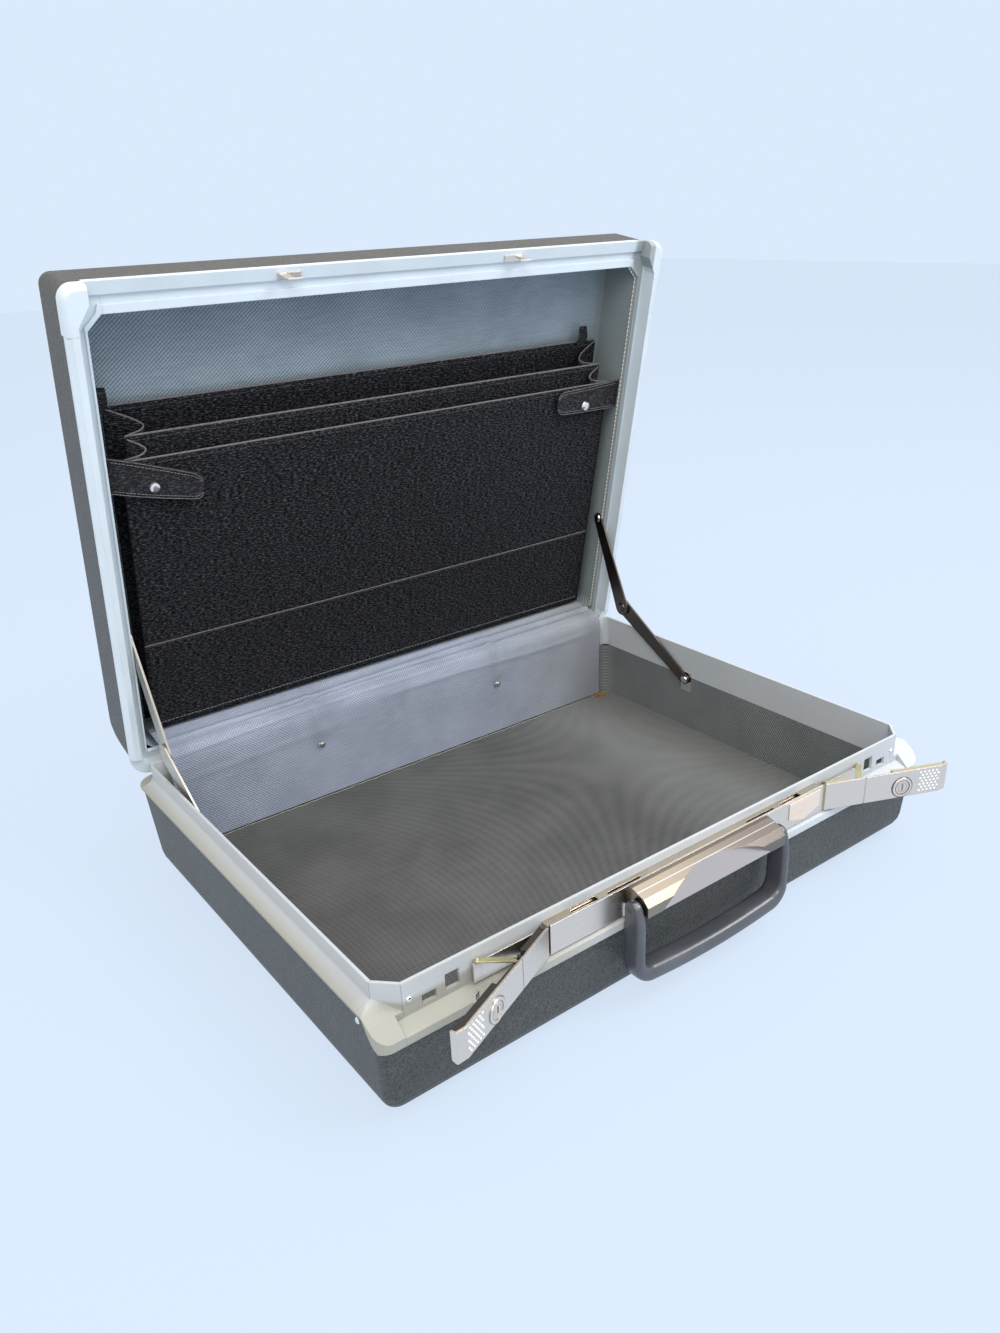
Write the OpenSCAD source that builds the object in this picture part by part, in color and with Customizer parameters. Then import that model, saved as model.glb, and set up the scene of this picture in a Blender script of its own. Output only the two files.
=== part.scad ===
// Hard-sided attache case: two moulded shells in metal frames, a pocket organizer in the lid,
// folding lid stays, two swing latches with key locks, and a drop handle under a shield.
// X runs along the front, Y points to the hinge and Z up; the origin is the middle of the base's underside.
// Lid pieces are drawn in lid coordinates: X, s out from the hinge axis, h up into the lid.

/* [Case] */
// Length of the case along the front
case_w = 460; // [440:1:520]
// Depth of the case from front to hinge
case_d = 340.2; // [325:0.1:380]
// Height of the hinge axis above the case's underside
hinge_z = 73.7; // [70:0.1:90]
// Distance of the hinge axis in front of the back
hinge_inset = 3; // [2.8:0.1:4]
// Depth of the lid above the hinge axis
lid_h = 53; // [50:1:80]
// Angle of the lid from closed, as it stands on its stays
lid_open = 79; // [70:0.5:82]

/* [Shells] */
// Wall of the moulded shells
shell_wall = 2.5; // [2:0.1:3]
// How far the shell lies inside the frame's outer edge
shell_inset = 1.7; // [1.6:0.1:2.5]
// Inward lean of the shell walls over their height
shell_draft = 4; // [2:0.5:6]
// Rounding of the base shell's long edges
edge_r = 16.4; // [10:0.1:20]
// Inward lean of the lid shell's walls over their height
lid_draft = 1; // [0.5:0.5:3]
// Rounding of the lid shell's top edges
lid_edge_r = 6; // [5:1:12]
// Rounding of the lid shell's top edge above the hinge
lid_rear_edge_r = 20; // [17:1:20]
// Plan radius of the front corners
corner_front_r = 9; // [8:0.5:12]
// Plan radius of the hinge-side corners
corner_rear_r = 16; // [16:1:30]

/* [Frames] */
// Height of the base tongue's top above the hinge axis
tongue_up = 10.3; // [8:0.1:10.4]
// Thickness of the tongue
tongue_t = 2; // [1.5:0.1:2.2]
// Distance of the tongue's outer face inside the case's edge
tongue_inset = 9.4; // [9:0.1:9.6]
// Depth of the base tongue from its top edge
tongue_h = 27; // [24:1:34]
// Drop of the ledge's outer edge below the hinge axis
ledge_drop = 3.3; // [3:0.1:5]
// Thickness of the frame's sheet
sheet = 1.6; // [1.2:0.1:1.8]
// Drop of the front lip's lower edge below the hinge axis
lip_drop = 20.6; // [18:0.1:24]
// Width of the lid frame's proud face
face_w = 7.4; // [6:0.1:7.6]
// Depth of the lid frame's outer flank
flank_h = 6; // [5.5:0.1:7]
// Depth of the lid frame's groove
groove_h = 11; // [11:0.1:13]
// Inset of the lid lip's inner edge at the sides
lip_in = 14.8; // [14.5:0.1:16]
// Inset of the lid lip's inner edge at the front
lip_in_front = 18.8; // [17:0.1:20]
// Step up of the lid's front rail, over the latch bar
front_step = 7.4; // [7:0.1:8]

/* [Hinge] */
// Radius of the hinge knuckles
knuckle_r = 2.5; // [2.3:0.1:2.7]
// Radius of the hinge pin
hinge_pin_r = 1.2; // [1:0.05:1.5]
// Number of knuckles along the hinge
knuckles = 9; // [5:2:13]
// Length of the whole hinge
hinge_len = 396; // [380:1:400]

/* [Stays] */
// Distance of the stay's lid pivot from the hinge axis
stay_s = 103; // [100:1:106]
// Height of the stay's lid pivot in the lid
stay_h = 17; // [16:0.5:18]
// Distance of the stay's base pivot in front of the hinge axis
stay_base_back = 114; // [112:0.5:116]
// Drop of the stay's base pivot below the hinge axis
stay_base_drop = 18.7; // [18.2:0.1:20]
// Length of the lower stay link
lower_len = 91.4; // [90:0.1:94]
// Length of the upper stay link
upper_len = 83; // [82:0.1:86]
// Thickness of a stay link
link_t = 1.5; // [1.2:0.1:1.6]
// Radius of the stay's elbow eyes
elbow_r = 7.5; // [6:0.5:8]
// Radius of the stay's end eyes
eye_r = 4.5; // [4.2:0.1:5]
// Radius of the stay's pivot studs
stay_pin_r = 2; // [1.5:0.1:2.2]

/* [Latches] */
// Distance of the cover plate's ends from the case's sides
plate_in = 112.5; // [111:0.5:118]
// Height of the cover plate
plate_h = 19.7; // [18:0.1:20]
// Thickness of the cover plate
plate_t = 1.4; // [1:0.1:1.6]
// Distance of a lever's pivot from the cover plate's end
lever_gap = 3.3; // [3.1:0.1:3.6]
// Distance of a lever's pivot behind the case's front
lever_in = 4.1; // [4:0.1:4.3]
// Distance of a closed lever's tip from the case's side
tip_in = 16.8; // [16.6:0.1:20]
// Angle of the popped levers
lever_open = 23.5; // [15:0.5:30]
// Distance of the lock from the lever's tip
lock_in = 34.8; // [34.4:0.1:35.4]
// Radius of the lock's bezel
bezel_r = 7.5; // [6.8:0.1:7.6]
// Radius of the lock's turning plug
plug_r = 5; // [4:0.1:5.4]
// Distance of the strikes from the cover plate's ends
strike_in = 29.5; // [26:0.5:33]

/* [Handle] */
// Half length of the handle over its arms
handle_half = 66; // [62:0.5:72]
// Width of a handle arm
arm_w = 6.2; // [5:0.1:8]
// Depth of the handle below its pivot
handle_drop = 55.9; // [45:0.1:60]
// Height of the hand grip
grip_h = 11.5; // [9:0.5:14]
// Depth of the handle from front to back
grip_d = 15.2; // [12:0.1:15.5]
// Radius of the handle's pivot pins
handle_pin_r = 2; // [1.5:0.1:2.5]
// Reach of the shield in front of the case's front
shield_out = 15.2; // [13:0.1:15.5]

/* [Organizer] */
// Inset of the organizer from the case's ends
org_inset = 26; // [25.5:0.5:30]
// Thickness of the organizer's panels
panel_t = 1.4; // [1.2:0.1:2.2]
// Distance of the organizer's lower edge from the hinge axis
org_s0 = 20; // [18:1:24]
// Top edge of the front panel, from the hinge axis
front_top = 227; // [215:1:232]
// Top edge of the middle panel, from the hinge axis
middle_top = 241; // [236:1:246]
// Top edge of the back panel, from the hinge axis
back_top = 255.5; // [250:0.5:262]
// Height of the front panel's top in the lid
front_h = 16.5; // [15:0.5:18]
// Height of the back panel in the lid
back_h = 39.5; // [38:0.5:42]

/* [Linings] */
// Thickness of the lining boards
lining_t = 1.2; // [1:0.1:1.5]
// Height of the floor board's top above the underside
floor_z = 9; // [7:0.5:14]
// Inset of the lining under the back wall's cloth
back_gap = 2.4; // [2:0.1:3]

/* [Hidden] */
$fn = 32;

run = 0.3;             // gap between pieces that move past each other
fit = 0.05;            // radial play of a pin in its bore
half_w = case_w / 2;
half_d = case_d / 2;
hinge_y = half_d - hinge_inset;
plate_half = half_w - plate_in;           // half length of the cover plate
lever_x = plate_half + lever_gap;         // lever pivots
lever_len = plate_in - lever_gap - tip_in;
lock_x = lever_len - lock_in;             // lock and catch, from the lever's pivot
catch_x = lever_len - 23.2;
strike_x = plate_half - strike_in;
slide_x0 = strike_x - 42;                 // inner end of the latch slides
lid_s = hinge_y + half_d;                 // reach of the closed lid's front edge from the hinge axis
back_s = -hinge_inset;                    // the lid's hinge-side edge
tongue_z = hinge_z + tongue_up;
ledge_z = hinge_z - ledge_drop;           // outer edge of the ledge
ledge_t = 1.4;
// The linings' cores lie inside the shells' rounded edges.
floor_core = shell_inset + shell_wall + shell_draft + edge_r;
lid_core = shell_inset + shell_wall + lid_draft + lid_rear_edge_r + 1;
shell_top = ledge_z - ledge_t;
lip_z = hinge_z - lip_drop;               // lower edge of the front lip
lip_h = 5;
front_ledge_z = tongue_z - 21.5;          // where the front ledge meets the tongue
tongue_in = tongue_inset + tongue_t;      // inset of the tongue's inner face
tongue_face_y = -half_d + tongue_inset;   // front face of the front tongue
chamfer = 12;                             // plan chamfer of the tongue's front corners
block_w = 16.4;                           // width of the corner blocks along the front
block_y = tongue_face_y + chamfer;        // where the base corner block meets the side rail
dip_y0 = -half_d + 15;                    // the block's lower edge drops from here
dip_y1 = -half_d + 4;                     // to here, where it meets the front lip
metal = [0.74, 0.76, 0.74];
nickel = [0.76, 0.74, 0.71];
dark_steel = [0.33, 0.33, 0.35];
leatherette = [0.13, 0.13, 0.15];
shell_colour = [0.38, 0.39, 0.37];
lining_colour = [0.36, 0.42, 0.45];

// Puts a piece drawn in lid coordinates where the open lid holds it.
module in_lid() translate([0, hinge_y, hinge_z]) rotate([-lid_open, 0, 0]) mirror([0, 1, 0]) children();
// Repeats a right-hand piece on the left.
module both() { children(); mirror([1, 0, 0]) children(); }
// Turns an outline drawn in Y and Z into a bar from x0 to x1.
module bar_x(outline, x0, x1)
    translate([x0, 0, 0]) rotate([90, 0, 90]) linear_extrude(x1 - x0) polygon(outline);
// Turns an outline of [inset, height] into a left-hand rail from y0 to y1.
module rail_y(outline, y0, y1)
    translate([-half_w, y1, 0]) rotate([90, 0, 0]) linear_extrude(y1 - y0) polygon(outline);
// Carries the same outline round the right rear corner.
module rail_corner(outline)
    translate([half_w - corner_rear_r, 0, 0]) rotate_extrude(angle = 90)
        polygon([for (p = outline) [corner_rear_r - p[0], p[1]]]);
// Points on a quarter circle.
function arc(cx, cy, r, a0, n = 8) =
    [for (i = [0:n]) [cx + r * cos(a0 + 90 * i / n), cy + r * sin(a0 + 90 * i / n)]];
// Rounded plan outline, inset all round; y0 is its front edge and y1 its back edge.
function plan(inset, y0, y1, rf, rr) = let (x = half_w - inset, a = y0 + inset, b = y1 - inset)
    concat(arc(x - rr, b - rr, rr, 0), arc(-x + rr, b - rr, rr, 90),
           arc(-x + rf, a + rf, rf, 180), arc(x - rf, a + rf, rf, 270));
// Fall of a rounded edge of radius r at a distance z from the face below it.
function round_in(r, z) = z < r ? r - sqrt(r * r - (r - z) * (r - z)) : 0;
// Solid tub of height h, standing on z 0 with its rounded edge down; inset is that of its rim.
// Its long edges have radius r, but the one at the back has radius re.
module tub(inset, h, r, rf, rr, draft, re) {
    steps = 6;
    hull() {
        translate([0, 0, h - 0.01]) linear_extrude(0.01) polygon(plan(inset, -half_d, half_d, rf, rr));
        for (e = r == re ? [r] : [r, re], i = [0:steps]) {
            z = e * (1 - sin(90 * i / steps));
            lean = draft * (1 - z / h) + round_in(r, z);
            translate([0, 0, z]) linear_extrude(0.01)
                polygon(plan(inset + lean, -half_d, half_d - round_in(re, z) + round_in(r, z), rf, rr));
        }
    }
}

// Base
base_side = [[0, shell_top], [0, ledge_z], [8.5, hinge_z], [tongue_inset, hinge_z + 0.2],
             [tongue_inset, tongue_z], [tongue_in, tongue_z], [tongue_in, tongue_z - tongue_h],
             [tongue_inset + 0.4, tongue_z - tongue_h], [tongue_inset + 0.4, hinge_z - 1.7],
             [sheet, shell_top]];
// At the hinge the ledge stays low, which leaves room for the knuckles.
base_rear = [[0, shell_top], [0, ledge_z], [6.4, ledge_z], [8.5, hinge_z], [tongue_inset, hinge_z + 0.2],
             [tongue_inset, tongue_z], [tongue_in, tongue_z], [tongue_in, tongue_z - tongue_h],
             [tongue_inset + 0.4, tongue_z - tongue_h], [tongue_inset + 0.4, shell_top]];
module base_shell() {
    t = shell_wall;
    color(shell_colour) difference() {
        tub(shell_inset, shell_top, edge_r, corner_front_r - shell_inset, corner_rear_r - shell_inset,
            shell_draft, edge_r);
        translate([0, 0, t])
            tub(shell_inset + t, shell_top, edge_r - t, corner_front_r - shell_inset - t,
                corner_rear_r - shell_inset - t, shell_draft, edge_r - t);
        // The front is cut down to the lip, and the side walls drop to it beside the corner blocks.
        bar_x([[-half_d - 1, lip_z], [dip_y1, lip_z], [dip_y0, shell_top],
               [dip_y0, shell_top + 20], [-half_d - 1, shell_top + 20]], -half_w - 1, half_w + 1);
        translate([block_w - half_w, -half_d - 1, lip_z])
            cube([case_w - 2 * block_w, tongue_inset, shell_top]);
    }
}
module front_holes() {
    // Windows in the tongue for the lock's cam and the lever's catch.
    for (w = [[lever_x + lock_x - 5.2, lever_x + lock_x + 3.9, lock_z - 2.2, lock_z + 7.8],
              [lever_x + catch_x - 2, lever_x + catch_x + 7, lock_z - 3.2, lock_z + 2.2]])
        translate([w[0], tongue_face_y - 1, w[2]]) cube([w[1] - w[0], tongue_t + 2, w[3] - w[2]]);
}
module base_frame_front() {
    y = -half_d;
    x = half_w - tongue_inset - chamfer;
    ledge = half_w - block_w;
    color(metal) difference() {
        union() {
            bar_x([[y, lip_z], [y, lip_z + lip_h], [tongue_face_y, front_ledge_z],
                   [tongue_face_y, front_ledge_z - 1.8],
                   [y + shell_inset + shell_wall, lip_z + lip_h], [y + shell_inset + shell_wall, lip_z]],
                  -ledge, ledge);
            translate([-x, tongue_face_y, tongue_z - tongue_h]) cube([2 * x, tongue_t, tongue_h]);
        }
        both() front_holes();
    }
}
module side_frame()
    color(metal) rail_y(base_side, block_y, half_d - corner_rear_r);
module base_frame_left() side_frame();
module base_frame_right() mirror([1, 0, 0]) side_frame();
module base_frame_rear() {
    x = half_w - corner_rear_r;
    color(metal) {
        bar_x([for (p = base_rear) [half_d - p[0], p[1]]], -x, x);
        both() translate([0, half_d - corner_rear_r, 0]) rail_corner(base_rear);
    }
}
// Corner block: its top falls from the side ledge to the front lip, as a finger dip at the lever's tip.
module base_corner() {
    a = tongue_inset;
    b = tongue_in;
    k = chamfer - tongue_t * (2 - sqrt(2));
    color(metal) {
        intersection() {
            bar_x([[block_y, shell_top], [dip_y0, shell_top], [dip_y1, lip_z], [-half_d, lip_z],
                   [-half_d, lip_z + lip_h + 0.6], [tongue_face_y, hinge_z - 7],
                   [block_y, hinge_z + 0.4]], -half_w, half_w);
            linear_extrude(2 * hinge_z) translate([-half_w, -half_d]) polygon(concat(
                [[a, a + chamfer], [a + chamfer, a], [block_w, a], [block_w, 0]],
                [for (i = [0:8])
                    [corner_front_r * (1 - sin(90 * i / 8)), corner_front_r * (1 - cos(90 * i / 8))]],
                [[0, a + chamfer]]));
            translate([-half_w, 0, 0]) rotate([90, 0, 0]) linear_extrude(case_w, center = true)
                polygon([[0, 0], [0, ledge_z], [8.5, hinge_z], [a + chamfer, hinge_z + 1],
                         [a + chamfer, 0]]);
        }
        translate([-half_w, -half_d, tongue_z - tongue_h]) linear_extrude(tongue_h)
            polygon([[a, a + chamfer], [a + chamfer, a], [a + chamfer, b], [b + k, b], [b, b + k],
                     [b, a + chamfer]]);
    }
}
module base_corner_left() base_corner();
module base_corner_right() mirror([1, 0, 0]) base_corner();
lining_front_r = 8;                       // plan radii of the linings' corners
lining_rear_r = 12;
module floor_board() {
    // The board's edges follow the shell's rounded bottom.
    color(lining_colour) translate([0, 0, shell_wall])
        linear_extrude(floor_z - shell_wall)
            polygon(plan(floor_core, -half_d, half_d, lining_front_r, lining_rear_r));
    color(lining_colour) translate([0, 0, floor_z - lining_t])
        linear_extrude(lining_t) polygon(plan(tongue_in, -half_d, half_d, lining_front_r, lining_rear_r));
}
module base_wall_lining() {
    top = tongue_z - tongue_h;
    color(lining_colour) translate([0, 0, floor_z]) linear_extrude(top - floor_z) difference() {
        polygon(plan(tongue_in - lining_t, -half_d, half_d, lining_front_r + lining_t,
                     lining_rear_r + lining_t));
        polygon(plan(tongue_in, -half_d, half_d, lining_front_r, lining_rear_r));
    }
}
rivet_seat = 0.3;                         // the leaning shell walls fall back by this at their rivets
lid_rivet_seat = 0.03;
module rivet(r, up) rotate_extrude() polygon([[0, 0], [r, 0], [r * 0.8, up * 0.7], [r * 0.4, up], [0, up]]);
module base_rivets() {
    r = 2;
    up = 0.8;
    // One at each end of the front tongue, and shell rivets below the side rails.
    color(metal) both() {
        translate([half_w - 25.5, tongue_face_y, lock_z + 3.7]) rotate([90, 0, 0]) rivet(r, up);
        translate([half_w - shell_inset - rivet_seat, block_y + 2, lip_z + 9])
            rotate([0, 90, 0]) rivet(r, up);
    }
}

// Hinge
knuckle_len = hinge_len / knuckles;
leaf_t = 0.3;
web_t = 3;
// Every second knuckle, from knuckle 'first' on, with the webs that carry it down to a leaf.
module knuckle_row(first, down) {
    for (i = [first:2:knuckles - 1]) {
        x0 = -hinge_len / 2 + i * knuckle_len + run / 2;
        translate([x0, 0, 0]) difference() {
            union() {
                rotate([0, 90, 0]) cylinder(h = knuckle_len - run, r = knuckle_r);
                translate([0, -web_t / 2, -down]) cube([knuckle_len - run, web_t, down - knuckle_r + 0.9]);
            }
            translate([-1, 0, 0]) rotate([0, 90, 0]) cylinder(h = knuckle_len + 2, r = hinge_pin_r + fit);
        }
    }
}
module hinge_leaf_base() color(metal) translate([0, hinge_y, hinge_z]) {
    knuckle_row(0, ledge_drop);
    translate([-hinge_len / 2, -web_t / 2, -ledge_drop]) cube([hinge_len, web_t, leaf_t]);
}
module hinge_leaf_lid() color(metal) in_lid() {
    mirror([0, 0, 1]) knuckle_row(1, hinge_recess);
    translate([-hinge_len / 2, -web_t / 2, hinge_recess - leaf_t]) cube([hinge_len, web_t, leaf_t]);
}
module hinge_pin() color(dark_steel) translate([-hinge_len / 2, hinge_y, hinge_z])
    rotate([0, 90, 0]) cylinder(h = hinge_len, r = hinge_pin_r);

// Cloth over the hinge: up the back wall, over the tongue and up to the organizer's foot.
cloth_t = 1.6;
cloth_half = half_w - 22;
// A lid point [s, h] as [y, z] where the open lid holds it.
function lid_yz(s, h) = [hinge_y - s * cos(lid_open) + h * sin(lid_open),
                         hinge_z + s * sin(lid_open) + h * cos(lid_open)];
wall_y = half_d - tongue_in - back_gap;
cloth_foot = lid_yz(org_s0 - 4, 29);
cloth_path = [[wall_y, floor_z + 0.5], [wall_y, 40], [wall_y - 0.6, 60], [wall_y - 1, 76],
              [wall_y - 0.6, tongue_z + 1.2], [wall_y + 3, tongue_z + 4.2], [wall_y + 12, tongue_z + 6],
              cloth_foot];
// Side of the path at a point: the middle of its two directions, turned a quarter.
function side_at(p, i) = let (a = p[max(i - 1, 0)], b = p[min(i + 1, len(p) - 1)], d = (b - a) / norm(b - a))
    [-d[1], d[0]];
function thick_path(p, t) = concat(p, [for (i = [len(p) - 1:-1:0]) p[i] + t * side_at(p, i)]);
module hinge_cover() color([0.5, 0.53, 0.6]) bar_x(thick_path(cloth_path, cloth_t), -cloth_half, cloth_half);
module cover_studs() color(nickel) both()
    translate([strike_x - 1, wall_y - cloth_t - 0.8, lip_z + 3]) rotate([90, 0, 0]) rivet(3, 1.6);

// Stays, worked out in the plane of the links
base_pivot = [hinge_y - stay_base_back, hinge_z - stay_base_drop];
function lid_pivot(open) = [hinge_y - stay_s * cos(open) + stay_h * sin(open),
                            hinge_z + stay_s * sin(open) + stay_h * cos(open)];
// Where the two links meet, for a lid that is open by an angle.
function elbow(open) = let (p = lid_pivot(open) - base_pivot, l = norm(p),
        a = (l * l + lower_len * lower_len - upper_len * upper_len) / (2 * l),
        h = sqrt(lower_len * lower_len - a * a))
    base_pivot + a * p / l + h * [p[1], -p[0]] / l;
function dir(a, b) = atan2(b[1] - a[1], b[0] - a[0]);
upper_x = half_w - lip_in - run;          // outer face of the upper link
stay_x = upper_x + run + link_t;          // outer face of the lower link
lower_rest = dir(base_pivot, elbow(lid_open));
upper_rest = dir(lid_pivot(lid_open), elbow(lid_open));
lower_closed = dir(base_pivot, elbow(0));
upper_closed = dir(lid_pivot(0), elbow(0));
echo(lower_turn = lower_rest - lower_closed, upper_turn = upper_closed - upper_rest - lid_open,
     base_pivot = base_pivot, lid_pivot = lid_pivot(lid_open), elbow = elbow(lid_open));
// Flat link in the Y-Z plane, from p at angle a, with its outer face at x.
module link(p, a, l, r0, r1, x, hole)
    translate([x - link_t, p[0], p[1]]) rotate([a, 0, 0]) rotate([90, 0, 90])
    linear_extrude(link_t) difference() {
        polygon(concat([for (i = [0:12]) [-r0 * sin(i * 15), r0 * cos(i * 15)]],
                       [for (i = [0:12]) [l + r1 * sin(i * 15), -r1 * cos(i * 15)]]));
        circle(r = hole);
    }
module stay_lower() color(dark_steel) {
    link(base_pivot, lower_rest, lower_len, eye_r, elbow_r, stay_x, stay_pin_r + fit);
    // Head of the elbow rivet, on the wall side.
    translate([stay_x, elbow(lid_open)[0], elbow(lid_open)[1]]) rotate([0, 90, 0]) rivet(4, 0.8);
}
module stay_upper() color(dark_steel) {
    link(lid_pivot(lid_open), upper_rest, upper_len, eye_r, elbow_r, upper_x, stay_pin_r + fit);
    translate([upper_x - link_t, elbow(lid_open)[0], elbow(lid_open)[1]]) rotate([0, -90, 0]) rivet(4, 1.2);
}
module stay_lower_right() stay_lower();
module stay_lower_left() mirror([1, 0, 0]) stay_lower();
module stay_upper_right() stay_upper();
module stay_upper_left() mirror([1, 0, 0]) stay_upper();
module stay_base_studs() {
    wall = half_w - tongue_in;
    tab_t = 0.8;
    color(nickel) both() translate([0, base_pivot[0], base_pivot[1]]) {
        translate([wall - tab_t, -6, -12]) cube([tab_t, 12, 18]);
        translate([stay_x - link_t - 0.2, 0, 0]) rotate([0, 90, 0])
            cylinder(h = wall - stay_x + link_t, r = stay_pin_r);
        translate([stay_x - link_t - 0.2, 0, 0]) rotate([0, -90, 0]) rivet(3.6, 1.2);
    }
}
module stay_lid_studs() {
    wall = half_w - lip_in;
    color(nickel) both() in_lid() translate([0, stay_s, stay_h]) {
        translate([upper_x - link_t - 0.2, 0, 0]) rotate([0, 90, 0])
            cylinder(h = wall - upper_x + link_t + 0.2, r = stay_pin_r);
        translate([upper_x - link_t - 0.2, 0, 0]) rotate([0, -90, 0]) rivet(3.6, 1.2);
    }
}

// Lid
hinge_recess = 3.2;                       // depth of the rear rail's step over the knuckles
groove_t = 1.6;
lid_side = [[0, 3.6], [3, 0], [face_w, 0], [face_w + 0.8, groove_h], [lip_in - sheet, groove_h],
            [lip_in - sheet + 0.2, groove_h - 1.4], [lip_in, groove_h - 1.4], [lip_in, groove_h + groove_t],
            [face_w - sheet, groove_h + groove_t], [face_w - sheet, sheet], [3.7, sheet],
            [sheet, 4.2], [sheet, flank_h], [0, flank_h]];
lid_rear = [[0, hinge_recess], [face_w, hinge_recess], [face_w + 0.8, groove_h], [lip_in - sheet, groove_h],
            [lip_in - sheet + 0.2, groove_h - 1.4], [lip_in, groove_h - 1.4], [lip_in, groove_h + groove_t],
            [face_w - sheet, groove_h + groove_t], [face_w - sheet, hinge_recess + sheet],
            [sheet, hinge_recess + sheet], [sheet, flank_h], [0, flank_h]];
front_wall = 8;                           // inset of the front rail's groove wall
lid_front = [[0, front_step], [front_wall, front_step + 1.6], [front_wall + 0.3, groove_h],
             [lip_in_front - 5.5, groove_h], [lip_in_front - 5.3, groove_h - 1.4],
             [lip_in_front, groove_h - 1.4],
             [lip_in_front, groove_h + groove_t], [front_wall - sheet, groove_h + groove_t],
             [front_wall - sheet, front_step + 3], [sheet, front_step + 1.8], [sheet, front_step + 5],
             [0, front_step + 5]];
lid_block_w = 15;                         // width of the corner blocks along the front
lip_chamfer = 9;
corner_b = lip_in_front + lip_chamfer;    // where the corner castings meet the side rails
rim_h = flank_h - 1;                      // the lid shell's rim, inside the flank
end_gap = 0.3;                            // between the castings' end walls and the shell
rim_gap = case_w - 2 * (lid_block_w - sheet - end_gap);
module lid_shell() color(shell_colour) in_lid() {
    t = shell_wall;
    mid = (lid_s + back_s) / 2;
    rf = corner_front_r - shell_inset;
    rr = corner_rear_r - shell_inset;
    translate([0, mid, lid_h]) mirror([0, 1, 0]) mirror([0, 0, 1]) difference() {
        tub(shell_inset, lid_h - rim_h, lid_edge_r, rf, rr, lid_draft, lid_rear_edge_r);
        translate([0, 0, t])
            tub(shell_inset + t, lid_h - rim_h, lid_edge_r - t, rf - t, rr - t, lid_draft,
                lid_rear_edge_r - t);
        // The rim is lower behind the front rail and the castings' end walls.
        translate([-rim_gap / 2, -half_d - 1, lid_h - front_step - 3.2]) cube([rim_gap, 8, 10]);
    }
}
module lid_rail() color(metal) in_lid() rail_y(lid_side, back_s + corner_rear_r, lid_s - corner_b);
module lid_frame_left() lid_rail();
module lid_frame_right() mirror([1, 0, 0]) lid_rail();
module lid_frame_rear() color(metal) in_lid() {
    x = half_w - corner_rear_r;
    bar_x([for (p = lid_rear) [back_s + p[0], p[1]]], -x, x);
    both() translate([0, back_s + corner_rear_r, 0]) mirror([0, 1, 0]) rail_corner(lid_rear);
}
module lid_frame_front() color(metal) in_lid() difference() {
    x = half_w - lid_block_w;
    bar_x([for (p = lid_front) [lid_s - p[0], p[1]]], -x, x);
    // Beside the corner castings the rail gives way to their groove floor and lip.
    both() translate([half_w - lip_far, lid_s - lip_in_front - 1, groove_h - 3])
        cube([lip_far, lip_in_front + 1 - front_wall - 0.3, 8]);
}
lip_far = lip_in + lip_chamfer + 1;       // end of a corner casting's lip along the front
// Square plan corner with a rounded point, inset by i from both edges.
function corner_plan(i, r) = concat([[i, 60], [60, 60], [60, i]],
    [for (j = [0:8]) [i + r * (1 - sin(90 * j / 8)), i + r * (1 - cos(90 * j / 8))]]);
corner_flank = 9.4;                       // height of the castings' outer flank
// Solid corner with its lower outer edge rounded, inset by i on all sides.
module corner_block(i) hull() for (p = [[3, 0], [1.7, 0.5], [0.7, 1.6], [0, 3.6], [0, corner_flank + 1]])
    translate([0, 0, p[1] + i]) linear_extrude(0.01)
        polygon(corner_plan(p[0] + i, corner_front_r - p[0] - i));
module lid_corner() color(metal) in_lid() {
    w = face_w;
    b0 = tongue_inset + chamfer + 1.6;    // the face's chamfer starts here, clear of the tongue
    b1 = front_wall + 3.2;
    lip = lip_in - sheet;
    lip0 = lip_in_front - sheet;
    k = lip_chamfer - sheet * (2 - sqrt(2));
    translate([-half_w, lid_s, 0]) mirror([0, 1, 0]) {
        // Proud face and rounded outer flank.
        intersection() {
            linear_extrude(sheet) polygon([[0, corner_b], [w, corner_b], [w, b0], [lid_block_w, b1],
                                           [lid_block_w, 0], [0, 0]]);
            corner_block(0);
        }
        intersection() {
            cube([lid_block_w, corner_b, corner_flank]);
            difference() {
                corner_block(0);
                corner_block(sheet);
                linear_extrude(2 * sheet, center = true)
                    polygon(corner_plan(3 + sheet, corner_front_r - 3 - sheet));
            }
        }
        // Wall from the face down to the groove.
        linear_extrude(groove_h + groove_t) polygon([[w - sheet, corner_b], [w, corner_b], [w, b0],
            [lid_block_w, b1], [lid_block_w, front_wall + 0.3], [lid_block_w - sheet, front_wall + 0.3],
            [lid_block_w - sheet, b1 - 0.4], [w - sheet, b0 - 0.4]]);
        translate([lid_block_w - sheet, 4.8, 0]) cube([sheet, front_wall - 4.5, front_step + 4]);
        // Wall that closes the casting's end, above the front rail.
        intersection() {
            translate([lid_block_w - sheet, 0, 0]) cube([sheet, front_wall, corner_flank]);
            corner_block(0);
        }
        // Groove floor and lip round the chamfered corner.
        translate([0, 0, groove_h]) linear_extrude(groove_t) polygon([
            [w - 0.2, corner_b], [lip_in, corner_b], [lip_in + lip_chamfer, lip_in_front],
            [lip_far, lip_in_front], [lip_far, front_wall + 0.3],
            [lid_block_w - 0.2, front_wall + 0.3], [lid_block_w - 0.2, b1], [w - 0.2, b0]]);
        translate([0, 0, groove_h - 1.4]) linear_extrude(groove_t + 1.4) polygon([[lip, corner_b],
            [lip_in, corner_b], [lip_in + lip_chamfer, lip_in_front], [lip_far, lip_in_front],
            [lip_far, lip_in_front - 5.3], [lip + k + 0.8, lip_in_front - 5.3], [lip + k - 0.8, lip0 + 0.9],
            [lip, lip0 + k]]);
    }
}
module lid_corner_left() lid_corner();
module lid_corner_right() mirror([1, 0, 0]) lid_corner();
pad = 2.8;                                // padding between the lid's top and its lining
lining_h = lid_h - shell_wall - pad - lining_t;
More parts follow.
